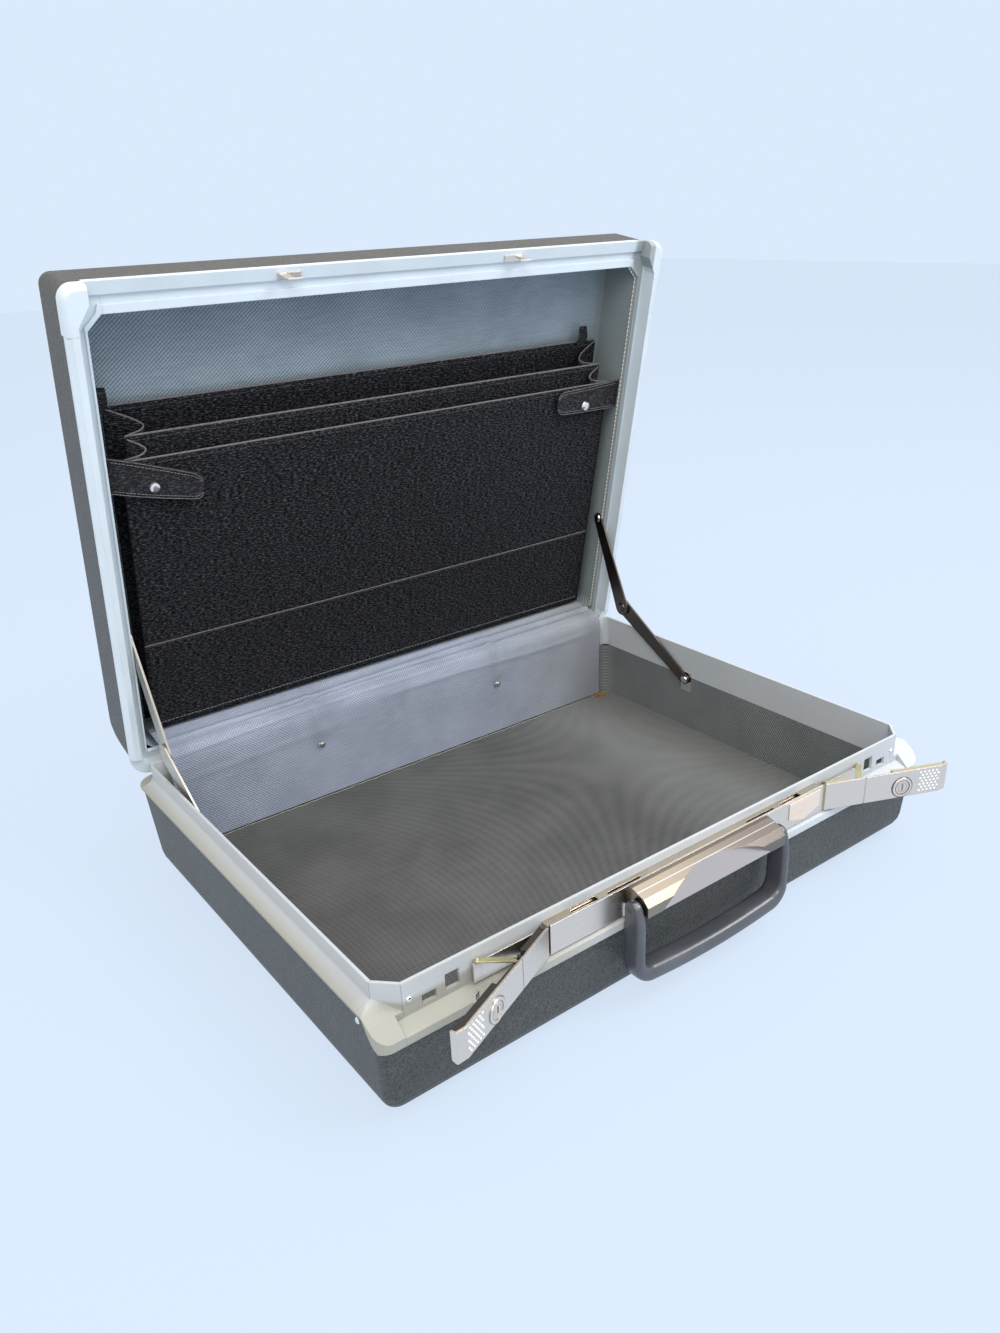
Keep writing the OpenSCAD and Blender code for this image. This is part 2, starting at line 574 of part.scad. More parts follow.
module lid_lining() color(lining_colour) in_lid() {
    h0 = groove_h + groove_t;
    mid = (lid_s + back_s) / 2;
    inner = lip_in - lining_t;
    translate([0, mid, 0]) mirror([0, 1, 0]) {
        translate([0, 0, h0]) linear_extrude(lining_h + lining_t - h0) difference() {
            polygon(plan(inner, -half_d, half_d, lining_front_r + lining_t, lining_rear_r));
            polygon(plan(lip_in, -half_d, half_d, lining_front_r, lining_rear_r - lining_t));
        }
        translate([0, 0, lining_h]) linear_extrude(lining_t)
            polygon(plan(inner, -half_d, half_d, lining_front_r + lining_t, lining_rear_r));
        translate([0, 0, lining_h]) linear_extrude(pad + lining_t)
            polygon(plan(lid_core, -half_d, half_d, lining_front_r, lining_front_r));
    }
}
module lid_rivets() color(metal) in_lid() both() {
    for (s = [lid_s - 31, 22]) translate([half_w - shell_inset - lid_rivet_seat, s, flank_h + 2.4])
        rotate([0, 90, 0]) rivet(2, 0.8);
}
// Strikes: a flange under the front rail, and a leg with a foot that drops into the latch bar.
strike_drop = 4.6;
strike_t = 1.2;
module strikes() color(nickel) in_lid() both() {
    s = hinge_y - channel_y0 - 2.2;
    s0 = s - 2.4;
    s1 = s + 2;
    // The flange follows the rail's sloping underside.
    bar_x([[s0, rail_under(s0) - strike_t], [s1, rail_under(s1) - strike_t], [s1, rail_under(s1)],
           [s0, rail_under(s0)]], strike_x - 8, strike_x + 8);
    translate([strike_x + 2, s, -strike_drop])
        cube([5, strike_t, strike_drop + rail_under(s1) - strike_t / 2]);
    translate([strike_x - 3, s, -strike_drop]) cube([8, strike_t, 2.2]);
}
function rail_under(s) = front_step + 1.6 * (lid_s - s) / front_wall;

// Organizer
panel_x = half_w - org_inset;
// Sloping panel between two lid points, drawn as a slab with its face on the line through them.
module panel(s0, h0, s1, h1) in_lid() bar_x([[s0, h0], [s1, h1], [s1, h1 + panel_t], [s0, h0 + panel_t]],
                                             -panel_x, panel_x);
middle_h = 22.5;
foot_h = [20.5, 30];                       // where the front and middle panels start, above the foot
module organizer_front() color(leatherette) panel(org_s0, foot_h[0], front_top, front_h);
module organizer_middle() color(leatherette) panel(org_s0, foot_h[1], middle_top, middle_h);
// The back panel and the foot that closes the pockets and stands on the lid's lining.
module organizer_back() color(leatherette) in_lid() {
    foot_s = org_s0 - run;
    bar_x([[foot_s - panel_t, foot_h[0]], [foot_s, foot_h[0]], [foot_s, back_h], [back_top, back_h],
           [back_top, back_h + panel_t], [foot_s, back_h + panel_t], [foot_s, lining_h - fit],
           [foot_s - panel_t, lining_h - fit]], -panel_x, panel_x);
}
// Folded side gussets: a pleat behind the middle panel and one before it, wider at the top.
gusset_t = 0.9;
fold_in = [9, 7];                         // depth of the rear and front pleats at the foot
fold_top = [23, 20];                      // and at the top
// One pleat as a V in plan; each end is [height of one edge, height of the other, x of the fold].
module pleat(foot, top) {
    lean = (back_top - middle_top) / (back_h - middle_h);
    n = 6;
    corners = [for (end = [foot, top]) let (mid = (end[0] + end[1]) / 2)
        for (p = [[panel_x, end[0]], [end[2], mid], [panel_x, end[1]], [panel_x, end[1] + gusset_t],
                  [end[2] + 2.4 * gusset_t, mid], [panel_x, end[0] - gusset_t]])
            [p[0], end == top ? middle_top - 3 + (p[1] - middle_h) * lean : org_s0 + 0.4, p[1]]];
    // Both skins of the fold are split along the same diagonal, which keeps the cloth's thickness.
    polyhedron(corners, concat([[for (i = [0:n - 1]) i]], [[for (i = [0:n - 1]) 2 * n - 1 - i]],
        [for (i = [0:n - 1], k = [0, 1]) let (j = (i + 1) % n)
            i < 3 ? (k == 0 ? [i, n + i, n + j] : [i, n + j, j])
                  : (k == 0 ? [i, n + i, j] : [n + i, n + j, j])]));
}
module gusset() color(leatherette) in_lid() {
    g = 0.1;
    pleat([back_h - g, foot_h[1] + panel_t + g, panel_x - fold_in[0]],
          [back_h - g, middle_h + panel_t + g, panel_x - fold_top[0]]);
    pleat([foot_h[1] - g, foot_h[0] + panel_t + g, panel_x - fold_in[1]],
          [middle_h - 0.4, front_h + panel_t + 0.5, panel_x - fold_top[1]]);
}
module gusset_right() gusset();
module gusset_left() mirror([1, 0, 0]) gusset();
// Strap outline from the side wall to the front panel, with a rounded tip.
strap_w = 23;                             // width of a strap at its root
strap_reach = [49.3, 53.6];               // how far the left and right straps run over the front panel
strap_drop = [16, 2];                     // how far their tips lie below their roots
stud_in = [18, 25.5];                     // the studs' distances from the panel's ends and top edge
stud_down = [18.3, 15.7];
module strap(x0, root_s, drop) color(leatherette) in_lid() {
    x1 = half_w - lip_in - 0.4;
    tip_s = root_s - drop;
    w = strap_w;
    translate([0, 0, front_h - 3.2]) linear_extrude(2)
        polygon([[x1, root_s], [x0 + 0.6 * w, tip_s], [x0 + 0.2 * w, tip_s - 0.2 * w], [x0, tip_s - 0.4 * w],
                 [x0, tip_s - 0.6 * w], [x0 + 0.2 * w, tip_s - 0.86 * w], [x0 + 0.6 * w, tip_s - 0.9 * w],
                 [x1, root_s - w]]);
}
module strap_left() mirror([1, 0, 0]) strap(panel_x - strap_reach[0], front_top + 5, strap_drop[0]);
module strap_right() strap(panel_x - strap_reach[1], front_top + 1, strap_drop[1]);
module strap_studs() color(nickel) in_lid() {
    for (i = [0, 1])
        translate([(2 * i - 1) * (panel_x - stud_in[i]), front_top - stud_down[i], front_h - 3.2])
            rotate([180, 0, 0]) rivet(4, 2.2);
}
tab_w = 10;
tab_sheet = 1.2;
module organizer_tabs() color(leatherette) in_lid() {
    for (x = [-panel_x - 7, panel_x - 2 * tab_w])
        translate([x, back_top - 3, back_h - tab_sheet]) cube([tab_w, 16, tab_sheet]);
}

// Latch bar
lever_y = -half_d + lever_in;             // lever pivots
plate_y = -half_d + 1.5;                  // front of the cover plate
plate_z1 = lip_z + 27.2;                  // its top edge
plate_z0 = plate_z1 - plate_h;
lock_z = lip_z + 15.3;                    // middle of the locks
channel_y0 = plate_y + plate_t;           // room inside the latch bar
channel_top = plate_z1 - 2.6;
bar_y = tongue_face_y - 1.2 - run;        // rear face of the slides
bar_t = 1.2;
module cover_plate() color(nickel)
    translate([-plate_half, plate_y, plate_z0]) cube([2 * plate_half, plate_t, plate_h]);
module latch_channel() color(nickel) difference() {
    union() {
        translate([-plate_half, channel_y0, channel_top])
            cube([2 * plate_half, tongue_face_y - channel_y0, 0.8]);
        translate([-plate_half, tongue_face_y - 0.9, front_ledge_z + 0.4])
            cube([2 * plate_half, 0.9, channel_top - front_ledge_z]);
    }
    // Slots for the strikes, and windows over the springs.
    both() {
        translate([strike_x - 9, channel_y0 - 1, channel_top - 0.01])
            cube([20, tongue_face_y - channel_y0 + 0.1, 2]);
        translate([slide_x0, channel_y0 + 0.6, channel_top - 1]) cube([26, 3, 3]);
    }
}
badge_half = 15.5;                        // the badge is a plate with a pointed lower edge
module badge_plate() color([0.8, 0.72, 0.62])
    translate([plate_half - 19, plate_y, 0]) rotate([90, 0, 0]) linear_extrude(0.5)
        polygon([[-badge_half, plate_z1 - 1.8], [-badge_half, plate_z0 + 6], [0, plate_z0 + 1.2],
                 [badge_half, plate_z0 + 6], [badge_half, plate_z1 - 1.8]]);
module lever_pins() color(dark_steel) both()
    translate([lever_x, lever_y, ledge_at(1.5)]) cylinder(h = carrier_top + 0.6 - ledge_at(1.5), r = 1.5);

// Lever pieces are drawn closed, from the pivot along X, with -Y outwards, and then swung open.
module at_lever() translate([lever_x, lever_y, 0]) rotate([0, 0, -lever_open]) children();
face_y = -lever_in + 0.5;                 // outer face of the lever
face_t = 1.4;
bend_x = lever_len - 6.4;                 // the tip's bend, and how far it leans back
tip_back = 2.2;
cap_t = 1.4;                              // the tip's folded end
back_y = 2.2;
function ledge_at(y) = lip_z + lip_h + (lever_in + y) * (front_ledge_z - lip_z - lip_h) / tongue_inset;
carrier_top = plate_z1 - 1;
module lever() color(nickel) at_lever() difference() {
    union() {
        translate([0, face_y, plate_z0]) cube([bend_x, face_t, plate_h]);
        // The face leans back near the tip, and is folded behind itself there.
        translate([0, 0, plate_z0]) linear_extrude(plate_h)
            polygon([[bend_x - 0.01, face_y], [lever_len, face_y + tip_back],
                     [lever_len, face_y + tip_back + face_t + 0.1], [bend_x - 0.01, face_y + face_t]]);
        bar_x([[face_y + tip_back, plate_z0], [face_y + tip_back + face_t, plate_z0],
               [back_y, ledge_at(back_y) + 1], [back_y, plate_z1], [face_y + tip_back, plate_z1]],
              lever_len - cap_t, lever_len);
    }
    translate([lock_x, 0, lock_z]) rotate([90, 0, 0]) cylinder(h = 10, r = plug_r + 0.8);
    // Line across the face where the inner panel ends.
    translate([29, face_y - 1, plate_z0 - 1]) cube([0.8, 1.5, plate_h + 2]);
}
module lever_carrier() color(dark_steel) at_lever() difference() {
    y = face_y + face_t;
    union() {
        bar_x([[y, ledge_at(y) + 1.4], [back_y, ledge_at(back_y) + 1.4], [back_y, carrier_top],
               [y, carrier_top]], -1.5, lever_len - cap_t);
        translate([0, 0, ledge_at(3) + 1.4]) cylinder(h = carrier_top - ledge_at(3) - 1.4, r = back_y);
        // Catch that snaps into the tongue's window.
        translate([catch_x, back_y - 0.5, lock_z - 1.9]) cube([5, 4.4, 3]);
    }
    cylinder(h = 3 * hinge_z, r = 1.5 + fit);
    translate([lock_x, 20, lock_z]) rotate([90, 0, 0]) cylinder(h = 40, r = plug_r + fit);
    // Behind the leaning tip the carrier follows the face.
    translate([0, 0, plate_z0 - 1]) linear_extrude(plate_h + 2)
        polygon([[bend_x - 0.01, y], [lever_len, y + tip_back + 0.1], [lever_len, y - 1], [bend_x, y - 1]]);
    // Pocket for the link, round its pin.
    difference() {
        translate([pin_x - 5, -10, pocket_z]) cube([30, 20, 20]);
        translate([pin_x, pin_y, pocket_z - 1]) cylinder(h = 30, r = 1);
    }
}
module lock_bezel() color(nickel) at_lever() translate([lock_x, face_y, lock_z]) rotate([90, 0, 0])
    difference() {
        translate([0, 0, -face_t]) union() {
            cylinder(h = face_t, r = plug_r + 0.8);
            translate([0, 0, face_t]) cylinder(h = 0.8, r1 = bezel_r, r2 = bezel_r - 0.5);
        }
        translate([0, 0, -5]) cylinder(h = 10, r = plug_r + fit);
    }
module key_plug() color([0.82, 0.8, 0.76]) at_lever() translate([lock_x, 0, lock_z]) difference() {
    union() {
        translate([0, back_y + 0.8, 0]) rotate([90, 0, 0])
            cylinder(h = back_y + 0.8 - face_y + 0.6, r = plug_r);
        translate([0, 9, 0]) rotate([90, 0, 0]) cylinder(h = 7, r = 1.5);
        // Cam, upright while the lock is open.
        translate([-1.8, tongue_inset - lever_in + tongue_t + run, -1.5]) cube([3.6, 1.3, 8.5]);
    }
    translate([-0.6, face_y - 2, -2.6]) cube([1.2, 4, 5.2]);
}
module lever_right() lever();
module lever_left() mirror([1, 0, 0]) lever();
module lever_carrier_right() lever_carrier();
module lever_carrier_left() mirror([1, 0, 0]) lever_carrier();
module lock_bezel_right() lock_bezel();
module lock_bezel_left() mirror([1, 0, 0]) lock_bezel();
module key_plug_right() key_plug();
module key_plug_left() mirror([1, 0, 0]) key_plug();

// Slide and link, worked out in plan
pin_x = 26.7;                             // link pin on the closed lever, from its pivot
pin_y = 0.3;
pocket_z = channel_top - 2.4;
slide_pin = [lever_x + 42.2, tongue_face_y - 2]; // link pin on the slide, with the lever open
function lever_pin(open) = [lever_x + pin_x * cos(open) + pin_y * sin(open),
                            lever_y - pin_x * sin(open) + pin_y * cos(open)];
link_len = norm(slide_pin - lever_pin(lever_open));
link_rest = dir(slide_pin, lever_pin(lever_open));
link_z = channel_top - 1.6;
link_slot = 1.45;                         // half width of the link's slot
link_eye = 1.95;                          // radius of the link's end round the lever's pin
module slide() color(nickel) {
    z0 = front_ledge_z + 0.9;
    z1 = channel_top - 1.8;
    translate([slide_x0, bar_y - bar_t, z0]) cube([slide_pin[0] + 3 - slide_x0, bar_t, z1 - z0]);
    // Tooth that covers the strike's foot when the lever is closed.
    translate([strike_x - 9, bar_y - 4.2, hinge_z - strike_drop + 2.6]) cube([4, 3.6, 2]);
    translate([slide_pin[0], slide_pin[1], z1 - 0.2]) cylinder(h = channel_top - z1 + 1, r = 0.8);
    translate([slide_pin[0] - 2, slide_pin[1] - 0.9, z0 + 2]) cube([5, 1.5, z1 - z0 - 2]);
}
module latch_link() color([0.72, 0.66, 0.45]) translate([slide_pin[0], slide_pin[1], link_z])
    rotate([0, 0, link_rest]) linear_extrude(1.2) difference() {
        polygon(concat([for (i = [0:8]) [-1.7 * sin(i * 22.5), 1.7 * cos(i * 22.5)]],
                       [for (i = [0:8]) [link_len + link_eye * sin(i * 22.5), -link_eye * cos(i * 22.5)]]));
        circle(r = 0.85);
        // The slot lets the lever's pin run ahead in mid travel.
        translate([link_len - 2.4, -link_slot]) square([2.4, 2 * link_slot]);
        translate([link_len, 0]) circle(r = link_slot);
    }
module latch_slide_right() slide();
module latch_slide_left() mirror([1, 0, 0]) slide();
module latch_link_right() latch_link();
module latch_link_left() mirror([1, 0, 0]) latch_link();

// Handle and shield
handle_y = -half_d - 6;
handle_z = hinge_z - 3.3;
shield_half = handle_half - arm_w - run;
hub_r = 5.4;
shield_z0 = lip_z + 13.3;                 // lower edge of the shield
module handle_shield() {
    front = -half_d - shield_out;
    top = plate_z1;
    outline = [[plate_y, top], [plate_y - 3, top], [front + 4, top - 3.2], [front, top - 7.2],
               [front, shield_z0], [front + 2.2, shield_z0]];
    color([0.78, 0.74, 0.66]) difference() {
        bar_x(concat(outline, [[front + 2.2, shield_z0 + 1.5], [front + 9.5, top - 5.5],
                               [plate_y, top - 3]]), -shield_half, shield_half);
        // Flat facet with an arched upper edge, leaning back from the lower edge.
        translate([0, front + 0.3, shield_z0]) rotate([90 - 36, 0, 0]) translate([0, -66, 0])
            cylinder(h = 12, r = 81, $fn = 160);
    }
    color([0.78, 0.74, 0.66]) both() difference() {
        bar_x([[plate_y, top - 3], [front + 9.5, top - 5.5], [front + 2.2, shield_z0 + 1.5],
               [front + 2.2, shield_z0], [plate_y, shield_z0]], shield_half - 5, shield_half);
        translate([0, handle_y, handle_z]) rotate([0, 90, 0]) cylinder(h = case_w, r = handle_pin_r + fit);
    }
}
module handle_pins() color(dark_steel) both()
    translate([shield_half - 5, handle_y, handle_z]) rotate([0, 90, 0])
        cylinder(h = 5 + run + arm_w, r = handle_pin_r);
module handle() {
    y0 = handle_y - grip_d + hub_r;
    bend = 16;
    low = -handle_drop;
    bow = 2.8;                            // the grip's ends lie higher than its middle
    reach = handle_half - bend;
    span = [for (k = [-8:8]) reach * k / 8];
    function sag(x) = bow * pow(x / reach, 2);
    color([0.38, 0.39, 0.41]) difference() {
        union() {
            translate([0, y0 + grip_d, handle_z]) rotate([90, 0, 0]) linear_extrude(grip_d) difference() {
                union() {
                    translate([-handle_half, low + bend + bow]) square([2 * handle_half, -low - bend - bow]);
                    hull() {
                        for (x = [-reach, reach]) translate([x, low + bend + bow]) circle(r = bend);
                        polygon([for (x = span) [x, low + sag(x)]]);
                    }
                }
                hull() {
                    for (x = [-1, 1]) {
                        translate([x * (handle_half - arm_w - 8), low + grip_h + 8 + bow]) circle(r = 8);
                        translate([x * (handle_half - arm_w - 1), 20]) circle(r = 1);
                    }
                    polygon(concat([for (x = span) [x * 0.8, low + grip_h + sag(x)]], [[0, 0]]));
                }
            }
            both() translate([handle_half - arm_w, handle_y, handle_z]) rotate([0, 90, 0])
                cylinder(h = arm_w, r = hub_r);
        }
        // The arms are thinned at their tops, beside the shield.
        translate([-half_w, y0 - 1, handle_z - 8]) rotate([-32, 0, 0])
            translate([0, -10, 0]) cube([case_w, 10, 30]);
        both() translate([0, handle_y, handle_z]) rotate([0, 90, 0])
            cylinder(h = case_w, r = handle_pin_r + fit);
    }
}

base_shell();
base_frame_front();
base_frame_left();
base_frame_right();
base_frame_rear();
base_corner_left();
base_corner_right();
floor_board();
base_wall_lining();
base_rivets();
hinge_leaf_base();
hinge_pin();
hinge_cover();
cover_studs();
latch_channel();
cover_plate();
badge_plate();
handle_shield();
handle_pins();
lever_pins();
stay_base_studs();
lid_shell();
lid_frame_front();
lid_frame_left();
lid_frame_right();
lid_frame_rear();
lid_corner_left();
lid_corner_right();
lid_lining();
lid_rivets();
hinge_leaf_lid();
strikes();
organizer_back();
organizer_middle();
organizer_front();
gusset_left();
gusset_right();
strap_left();
strap_right();
strap_studs();
organizer_tabs();
stay_lid_studs();
stay_lower_left();
stay_lower_right();
stay_upper_left();
stay_upper_right();
lever_left();
lever_right();
lever_carrier_left();
lever_carrier_right();
lock_bezel_left();
lock_bezel_right();
key_plug_left();
key_plug_right();
latch_slide_left();
latch_slide_right();
latch_link_left();
latch_link_right();
handle();
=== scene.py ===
# %% [markdown]
# # A hard briefcase, dressed in Blender
# The metal and plastic pieces come ready made from the CAD model, and this lesson gives them their
# finishes. The soft pieces, such as the pocket organizer and the cloth over the hinge, are made here as
# surfaces worked out with numpy, and they take the places of plain solids in the CAD model.

from math import cos, pi, radians, sin

import bpy
import numpy as np
from mathutils import Matrix, Vector


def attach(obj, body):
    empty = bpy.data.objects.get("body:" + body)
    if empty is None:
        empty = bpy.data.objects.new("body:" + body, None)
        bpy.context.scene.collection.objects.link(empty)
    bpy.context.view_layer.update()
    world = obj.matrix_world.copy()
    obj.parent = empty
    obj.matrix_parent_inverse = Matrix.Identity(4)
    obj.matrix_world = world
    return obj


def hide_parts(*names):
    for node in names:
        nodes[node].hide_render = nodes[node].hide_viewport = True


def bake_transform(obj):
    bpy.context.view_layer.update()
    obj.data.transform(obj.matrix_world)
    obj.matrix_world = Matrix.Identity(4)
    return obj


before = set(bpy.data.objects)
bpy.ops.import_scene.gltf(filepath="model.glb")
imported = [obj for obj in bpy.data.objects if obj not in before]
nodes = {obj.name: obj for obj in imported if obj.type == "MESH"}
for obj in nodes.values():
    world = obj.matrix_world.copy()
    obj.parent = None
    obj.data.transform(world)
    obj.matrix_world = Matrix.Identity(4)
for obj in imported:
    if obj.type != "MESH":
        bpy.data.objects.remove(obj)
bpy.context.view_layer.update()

# %% [markdown]
# ## Camera
# The photograph was taken from the front left, a little above the open lid's middle. The camera's focal
# length, place and turn were solved from the case's straight edges. A phone picture that was cropped
# keeps its optical axis off centre, and a small shift stands for that.

# %% Camera
AZIMUTH, ELEVATION, ROLL = radians(-36.41), radians(25.74), radians(-2.42)
CAMERA_AT = (-0.41074, -0.53777, 0.43670)
SENSOR = 36  # millimetres
FOCAL, PHOTO_TALL = 1060.81, 1333  # pixels of the photograph
OPTICAL_AXIS, PHOTO_MIDDLE = (510.45, 714.25), (500, 666.5)  # pixels from the photograph's top left corner
back = Vector((sin(AZIMUTH) * cos(ELEVATION), -cos(AZIMUTH) * cos(ELEVATION), sin(ELEVATION)))
level = Vector((cos(AZIMUTH), sin(AZIMUTH), 0))
upright = back.cross(level)
right = cos(ROLL) * level + sin(ROLL) * upright
up = -sin(ROLL) * level + cos(ROLL) * upright
cam_data = bpy.data.cameras.new("camera")
cam = bpy.data.objects.new("camera", cam_data)
bpy.context.scene.collection.objects.link(cam)
turn = Matrix((right, up, back)).transposed().to_4x4()
cam.matrix_world = Matrix.Translation(CAMERA_AT) @ turn
cam_data.sensor_width = SENSOR
cam_data.lens = FOCAL * SENSOR / PHOTO_TALL
cam_data.shift_x = (PHOTO_MIDDLE[0] - OPTICAL_AXIS[0]) / PHOTO_TALL
cam_data.shift_y = (OPTICAL_AXIS[1] - PHOTO_MIDDLE[1]) / PHOTO_TALL
cam_data.clip_start, cam_data.clip_end = 0.01, 50
bpy.context.scene.camera = cam
bpy.context.scene.view_settings.view_transform = "Standard"
print("lens", round(cam_data.lens, 2), "mm")

# %% [markdown]
# ## Shader expressions
# Most finishes here are sums and products of a few patterns. Wrapping a socket in a small class lets
# such a formula be written as plain Python, and each operator adds its Math node.


# %% A socket that can be calculated with
def to_linear(r, g, b):
    """A screen colour from 0 to 255 as the linear colour that Blender's sockets take."""
    c = np.array([r, g, b]) / 255
    return (*np.where(c <= 0.04045, c / 12.92, ((c + 0.055) / 1.055) ** 2.4), 1.0)


def shade(colour, by):
    """A screen colour as a linear one, with its light scaled."""
    return (*(c * by for c in to_linear(*colour)[:3]), 1.0)


class Value:
    """One number or colour that varies over a surface."""

    def __init__(self, finish, socket):
        self.finish, self.socket = finish, socket

    def math(self, operation, *others):
        """The result of a Math node whose first input is this value."""
        return self.finish.node("ShaderNodeMath", {"operation": operation}, self, *others)

    def __add__(self, o):
        return self.math("ADD", o)

    def __sub__(self, o):
        return self.math("SUBTRACT", o)

    def __rsub__(self, o):
        return self.finish.node("ShaderNodeMath", {"operation": "SUBTRACT"}, o, self)

    def __mul__(self, o):
        return self.math("MULTIPLY", o)

    def wave(self):
        return self.math("SINE")

    def clip(self):
        return self.finish.node("ShaderNodeClamp", {}, self)

    def step(self, low, high):
        """0 below low, 1 above high, with a smooth ramp between."""
        return self.finish.node(
            "ShaderNodeMapRange", {"interpolation_type": "SMOOTHSTEP"}, self, low, high, 0.0, 1.0
        )


# %% A finish: one material and the ways to fill its sockets
class Finish:
    """A Principled material whose patterns are written as expressions."""

    def __init__(self, name, **constants):
        self.material = bpy.data.materials.new(name)
        self.material.use_nodes = True
        self.tree = self.material.node_tree
        self.shader = self.tree.nodes["Principled BSDF"]
        for key, v in constants.items():
            self.shader.inputs[key.replace("_", " ").title().replace("Ior", "IOR")].default_value = v

    def node(self, kind, settings, *inputs, out=0, **named):
        """Add a node with its settings and inputs, by place or by name, and give one of its outputs."""
        n = self.tree.nodes.new(kind)
        for key, v in settings.items():
            setattr(n, key, v)
        for key, v in [*enumerate(inputs), *named.items()]:
            socket = n.inputs[key if isinstance(key, int) else key.title()]
            if isinstance(v, Value):
                self.tree.links.new(v.socket, socket)
            else:
                socket.default_value = v
        return Value(self, n.outputs[out])

    def place(self, uv=False, scale=(1, 1, 1), turn=(0, 0, 0)):
        """Object coordinates in metres, or the piece's own map, scaled and turned."""
        where = self.node("ShaderNodeTexCoord", {}, out=2 if uv else 3)
        return self.node("ShaderNodeMapping", {}, Vector=where, Scale=scale, Rotation=turn)

    def split(self, vector):
        """The three parts of a vector."""
        n = self.tree.nodes.new("ShaderNodeSeparateXYZ")
        self.tree.links.new(vector.socket, n.inputs[0])
        return [Value(self, s) for s in n.outputs]

    def rightwards(self, low, high):
        """0 left of low and 1 right of high, in metres along the case."""
        return self.split(self.place())[0].step(low, high)

    def noise(self, vector, scale, detail=3.0, rough=0.55):
        """Clouds from 0 to 1, about 1 / scale metres across."""
        return self.node("ShaderNodeTexNoise", {}, Vector=vector, Scale=scale, Detail=detail, Roughness=rough)

    def cells(self, vector, scale):
        """Distance to the nearest of many scattered points, smoothed where cells meet."""
        return self.node("ShaderNodeTexVoronoi", {"feature": "SMOOTH_F1"}, Vector=vector, Scale=scale)

    def mix(self, share, a, b):
        """Colour a where share is 0 and b where it is 1; three numbers are a screen colour."""
        n = self.tree.nodes.new("ShaderNodeMix")
        n.data_type = "RGBA"
        for i, v in ((0, share), (6, a), (7, b)):
            if isinstance(v, Value):
                self.tree.links.new(v.socket, n.inputs[i])
            else:
                n.inputs[i].default_value = to_linear(*v) if len(v) == 3 else v
        return Value(self, n.outputs[2])

    def set(self, name, v):
        """Let a value drive a socket of the shader."""
        self.tree.links.new(v.socket, self.shader.inputs[name])

    def fade(self, share, colour):
        """Draw the base colour set so far towards another one where share is high."""
        before = Value(self, self.shader.inputs["Base Color"].links[0].from_socket)
        self.set("Base Color", self.mix(share, before, colour))

    def bump(self, height, depth, strength=1.0, soften=0.0):
        """Relief of that depth in metres; soften rounds sharp edges as seen by light."""
        n = self.tree.nodes.new("ShaderNodeBump")
        n.inputs["Strength"].default_value = strength
        n.inputs["Distance"].default_value = depth
        self.tree.links.new(height.socket, n.inputs["Height"])
        if soften:
            e = self.tree.nodes.new("ShaderNodeBevel")
            e.samples = 4
            e.inputs["Radius"].default_value = soften
            self.tree.links.new(e.outputs[0], n.inputs["Normal"])
        self.tree.links.new(n.outputs[0], self.shader.inputs["Normal"])


# %% [markdown]
# ## Moulded shells
# The shells are grained plastic: closely set pebbles a little over a millimetre across, darker in their
# valleys, with a dull sheen. Handling has left pale flecks on them in patches.

# %% Shell finish
shell = Finish("moulded_shell", roughness=0.5, specular_ior_level=0.4)
at = shell.place()
pebble = shell.cells(at, 820)
fine = shell.noise(at, 2300, 2.0)
blotch = shell.noise(at, 14, 4.0)
fleck = shell.noise(at, 1000, 2.0).step(0.54, 0.72)
worn_patch = shell.noise(at, 60, 5.0).step(0.48, 0.66)
tone = shell.mix((pebble * 0.8 + fine * 0.5).step(0.25, 0.85), (80, 82, 80), (48, 49, 48))
tone = shell.mix(blotch.step(0.35, 0.75) * 0.25, tone, (80, 80, 76))
shell.set("Base Color", shell.mix(fleck * worn_patch * 0.3, tone, (150, 149, 140)))
shell.set("Roughness", blotch * 0.16 + 0.38)
shell.bump(1 - pebble + fine * 0.35, 0.0004)
print("finish:", shell.material.name)

# %% [markdown]
# ## Painted metal frames
# The rails are pale grey enamel on sheet metal. The base's frame has yellowed towards cream on the
# left, the lid's rails stay cool, and fine scratches run along them. The inner lip of the lid's right
# rail lies in shade. The Bevel node rounds each sheet edge as light sees it, so that the edges catch a
# highlight.

# %% Frame finish
LEDGE_Z = (0.070, 0.074)  # from just below the base's ledge to just above it


def enamel(name, cool, warm, warm_from, warm_to):
    """Enamel that turns from cool to warm towards the left, and less so above the base's ledge."""
    f = Finish(name, roughness=0.38, specular_ior_level=0.45)
    at = f.place()
    x, y, z = f.split(at)
    yellow = (x * -1.0 - y * 0.25).step(warm_from, warm_to) * (1 - z.step(*LEDGE_Z) * 0.8)
    cloud = f.noise(at, 22, 5.0)
    scratch = f.noise(f.place(scale=(40, 900, 900)), 1.0, 3.0).step(0.66, 0.78)
    speck = f.noise(at, 420, 2.0).step(0.70, 0.76) * f.noise(at, 35, 3.0).step(0.55, 0.7)
    c = f.mix(yellow, cool, warm)
    c = f.mix(cloud.step(0.3, 0.8) * 0.25, c, (164, 170, 170))
    c = f.mix(scratch * 0.25, c, (228, 232, 232))
    f.set("Base Color", f.mix(speck * 0.55, c, (92, 90, 82)))
    f.set("Roughness", cloud * 0.25 + scratch * 0.12 + 0.28)
    f.bump(cloud, 0.00006, 0.5, soften=0.0007)
    return f


lid_enamel = enamel("lid_frame_enamel", (204, 213, 218), (208, 211, 206), 0.3, 0.9)
base_enamel = enamel("base_frame_enamel", (186, 190, 193), (150, 147, 134), 0.06, 0.19)
shaded_lip = lid_enamel.rightwards(0.205, 0.210) * (1 - lid_enamel.rightwards(0.2195, 0.2210))
lid_enamel.fade(shaded_lip * 0.9, (140, 147, 146))

# %% [markdown]
# ## Plated and bare metal
# The levers and the cover plate are satin nickel, brushed along their length. The shield is polished
# brighter and looks golden, and the stays are dark steel.


